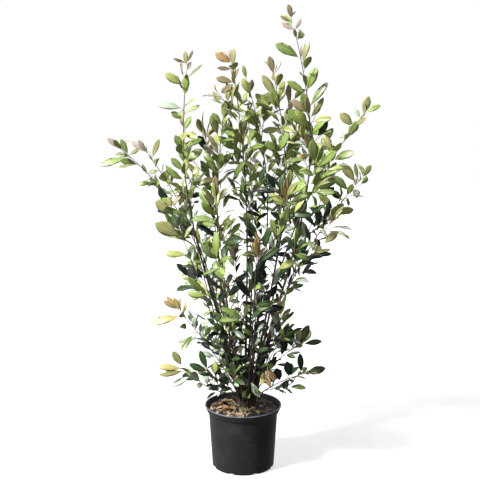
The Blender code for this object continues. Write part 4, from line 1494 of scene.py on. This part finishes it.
def build_plant():
    """Stems first, then the growth in rounds, so that the solids' own leaves come before."""
    courses = [(shoot, course_of(shoot)) for shoot in TALL_SHOOTS + LOW_SHOOTS]
    for number, (shoot, course) in enumerate(courses):
        build_stem(shoot, course, number)
    build_crown([foot_of(shoot) for shoot, course in courses])
    growths = [Growth(shoot, course, number) for number, (shoot, course) in enumerate(courses)]
    for step in (Growth.place_leaves, Growth.grow, Growth.refine, Growth.grow_spurs):
        for growth in growths:
            step(growth)
    for place, way, tint, reach in FOOT_LEAVES:
        place = Vector(place)
        near = min(growths, key=lambda growth: growth.course.gap_to(place))
        near.add_leaf(place, Vector(way).normalized(), tint, reach)


def skin_look(tint, part, colour):
    """The skin of one part of a tint's leaves: the upper ones are waxy."""
    shaded = tint in SHADED_TINTS
    upper = part == "upper"
    wax = (0.14 if shaded else 0.30) if upper else 0.0
    return leaf_look(tint + "_" + part, colour, 0.36 if upper else 0.5, wax=wax,
                     gloss=0.26 if shaded else 0.5)


def build_looks():
    """The plant's pieces, from what has grown."""
    bark = (
        # Old bark, made darker as painted shade at the foot; the woody crown has it too
        bark_look("bark_old_with_painted_shade", (0.014, 0.009, 0.007), (0.045, 0.029, 0.022), (0.130, 0.092, 0.068)),
        bark_look("bark_brown", (0.018, 0.011, 0.010), (0.055, 0.035, 0.031),
                  (0.150, 0.105, 0.092), 0.62),
        bark_look("bark_young", (0.055, 0.030, 0.030), (0.120, 0.072, 0.066),
                  (0.230, 0.155, 0.140), 0.5),
    )
    boughs = [shoot.name + "_bough" for shoot in TALL_SHOOTS]
    settle(BARK.build("stems", bark), "bark", "trunk", *boughs)
    settle(TWIGS.build("twigs", [bark[1]]), "bark")
    stalk = leaf_look("stalk_red", (0.260, 0.120, 0.070), 0.42)
    settle(PETIOLES.build("leaf_stalks", [stalk]), "foliage")
    masses = [shoot.name + "_leaves" for shoot in TALL_SHOOTS + LOW_SHOOTS]
    for tint, colours in TINTS.items():
        skins = [skin_look(tint, part, colour)
                 for part, colour in zip(("upper", "rib", "under"), colours)]
        piece = LEAVES[tint].build("leaves_" + tint, skins)
        settle(piece, "young_foliage" if tint in YOUNG_TINTS else "foliage", *masses)
        masses = ()


def floor_look():
    look = Look("floor_look")
    tone = look.noise(3.0, 2.0)
    look.set("Base Color", look.ramp(tone, (0.3, (0.34, 0.34, 0.34)), (0.7, (0.38, 0.38, 0.38))))
    look.set("Emission Color", WHITE)
    look.set("Emission Strength", 0.5)
    look.set("Roughness", 0.9)
    look.set("Specular IOR Level", 0.1)
    return look.material


def build_floor():
    """A plain pale floor, which throws no light back on the plant."""
    bm = bmesh.new()
    bmesh.ops.create_circle(bm, cap_ends=True, segments=96, radius=14.0)
    ground = put_solid("floor", bm)
    ground.data.materials.append(floor_look())
    ground.visible_diffuse = False
    ground.visible_glossy = False


def build_world():
    """A plain white backdrop, and a soft fill that is weaker on the right."""
    world = bpy.data.worlds.new("studio")
    bpy.context.scene.world = world
    sky = Nodes(world)
    place = sky.node("ShaderNodeTexCoord").outputs["Generated"]
    across = sky.node("ShaderNodeSeparateXYZ", {0: place}).outputs["X"]
    fill = sky.tree.nodes["Background"]
    sky.feed(fill, "Color", WHITE)
    sky.feed(fill, "Strength", sky.spread(across, FILL_LEFT, FILL_RIGHT, -1.0, 1.0))
    white = sky.node("ShaderNodeBackground", {"Color": WHITE, "Strength": 1.0})
    seen = sky.node("ShaderNodeLightPath").outputs["Is Camera Ray"]
    mix = sky.node("ShaderNodeMixShader", {0: seen, 1: fill.outputs[0], 2: white.outputs[0]})
    sky.feed(sky.tree.nodes["World Output"], "Surface", mix.outputs[0])


def add_sun(name, towards, strength, spread):
    """A soft light from a direction, as wide as the spread in degrees."""
    lamp = bpy.data.lights.new(name, "SUN")
    lamp.energy = strength
    lamp.angle = math.radians(spread)
    put(name, lamp).rotation_euler = Vector(towards).to_track_quat("Z", "Y").to_euler()


def add_camera():
    """The camera of the photo, as fitted to the pot's rim and foot."""
    camera = bpy.data.cameras.new("camera")
    camera.sensor_width = SENSOR_WIDTH
    camera.lens = FOCAL_PIXELS * SENSOR_WIDTH / PHOTO_WIDTH
    camera.clip_end = 100.0
    eye = put("camera", camera)
    eye.location = (-0.015, -3.85, 1.697)
    eye.rotation_euler = (math.radians(90.0 - LOOK_DOWN), 0.0, 0.0)
    bpy.context.scene.camera = eye
    bpy.context.scene.view_settings.view_transform = "Standard"


build_plant()
build_looks()
settle(build_pot(), "pot_plastic", "pot")
settle(build_soil(), "potting_mix", "soil")
settle(build_chips(), "potting_mix")
settle(build_litter(), "potting_mix")
build_floor()
build_world()
add_sun("key", (-1.50, -0.95, 1.75), 7.6, 10)
add_sun("back", (0.5, 1.4, 1.9), 2.6, 40)
add_sun("low", (-1.5, -0.85, 0.42), 1.1, 40)
add_camera()
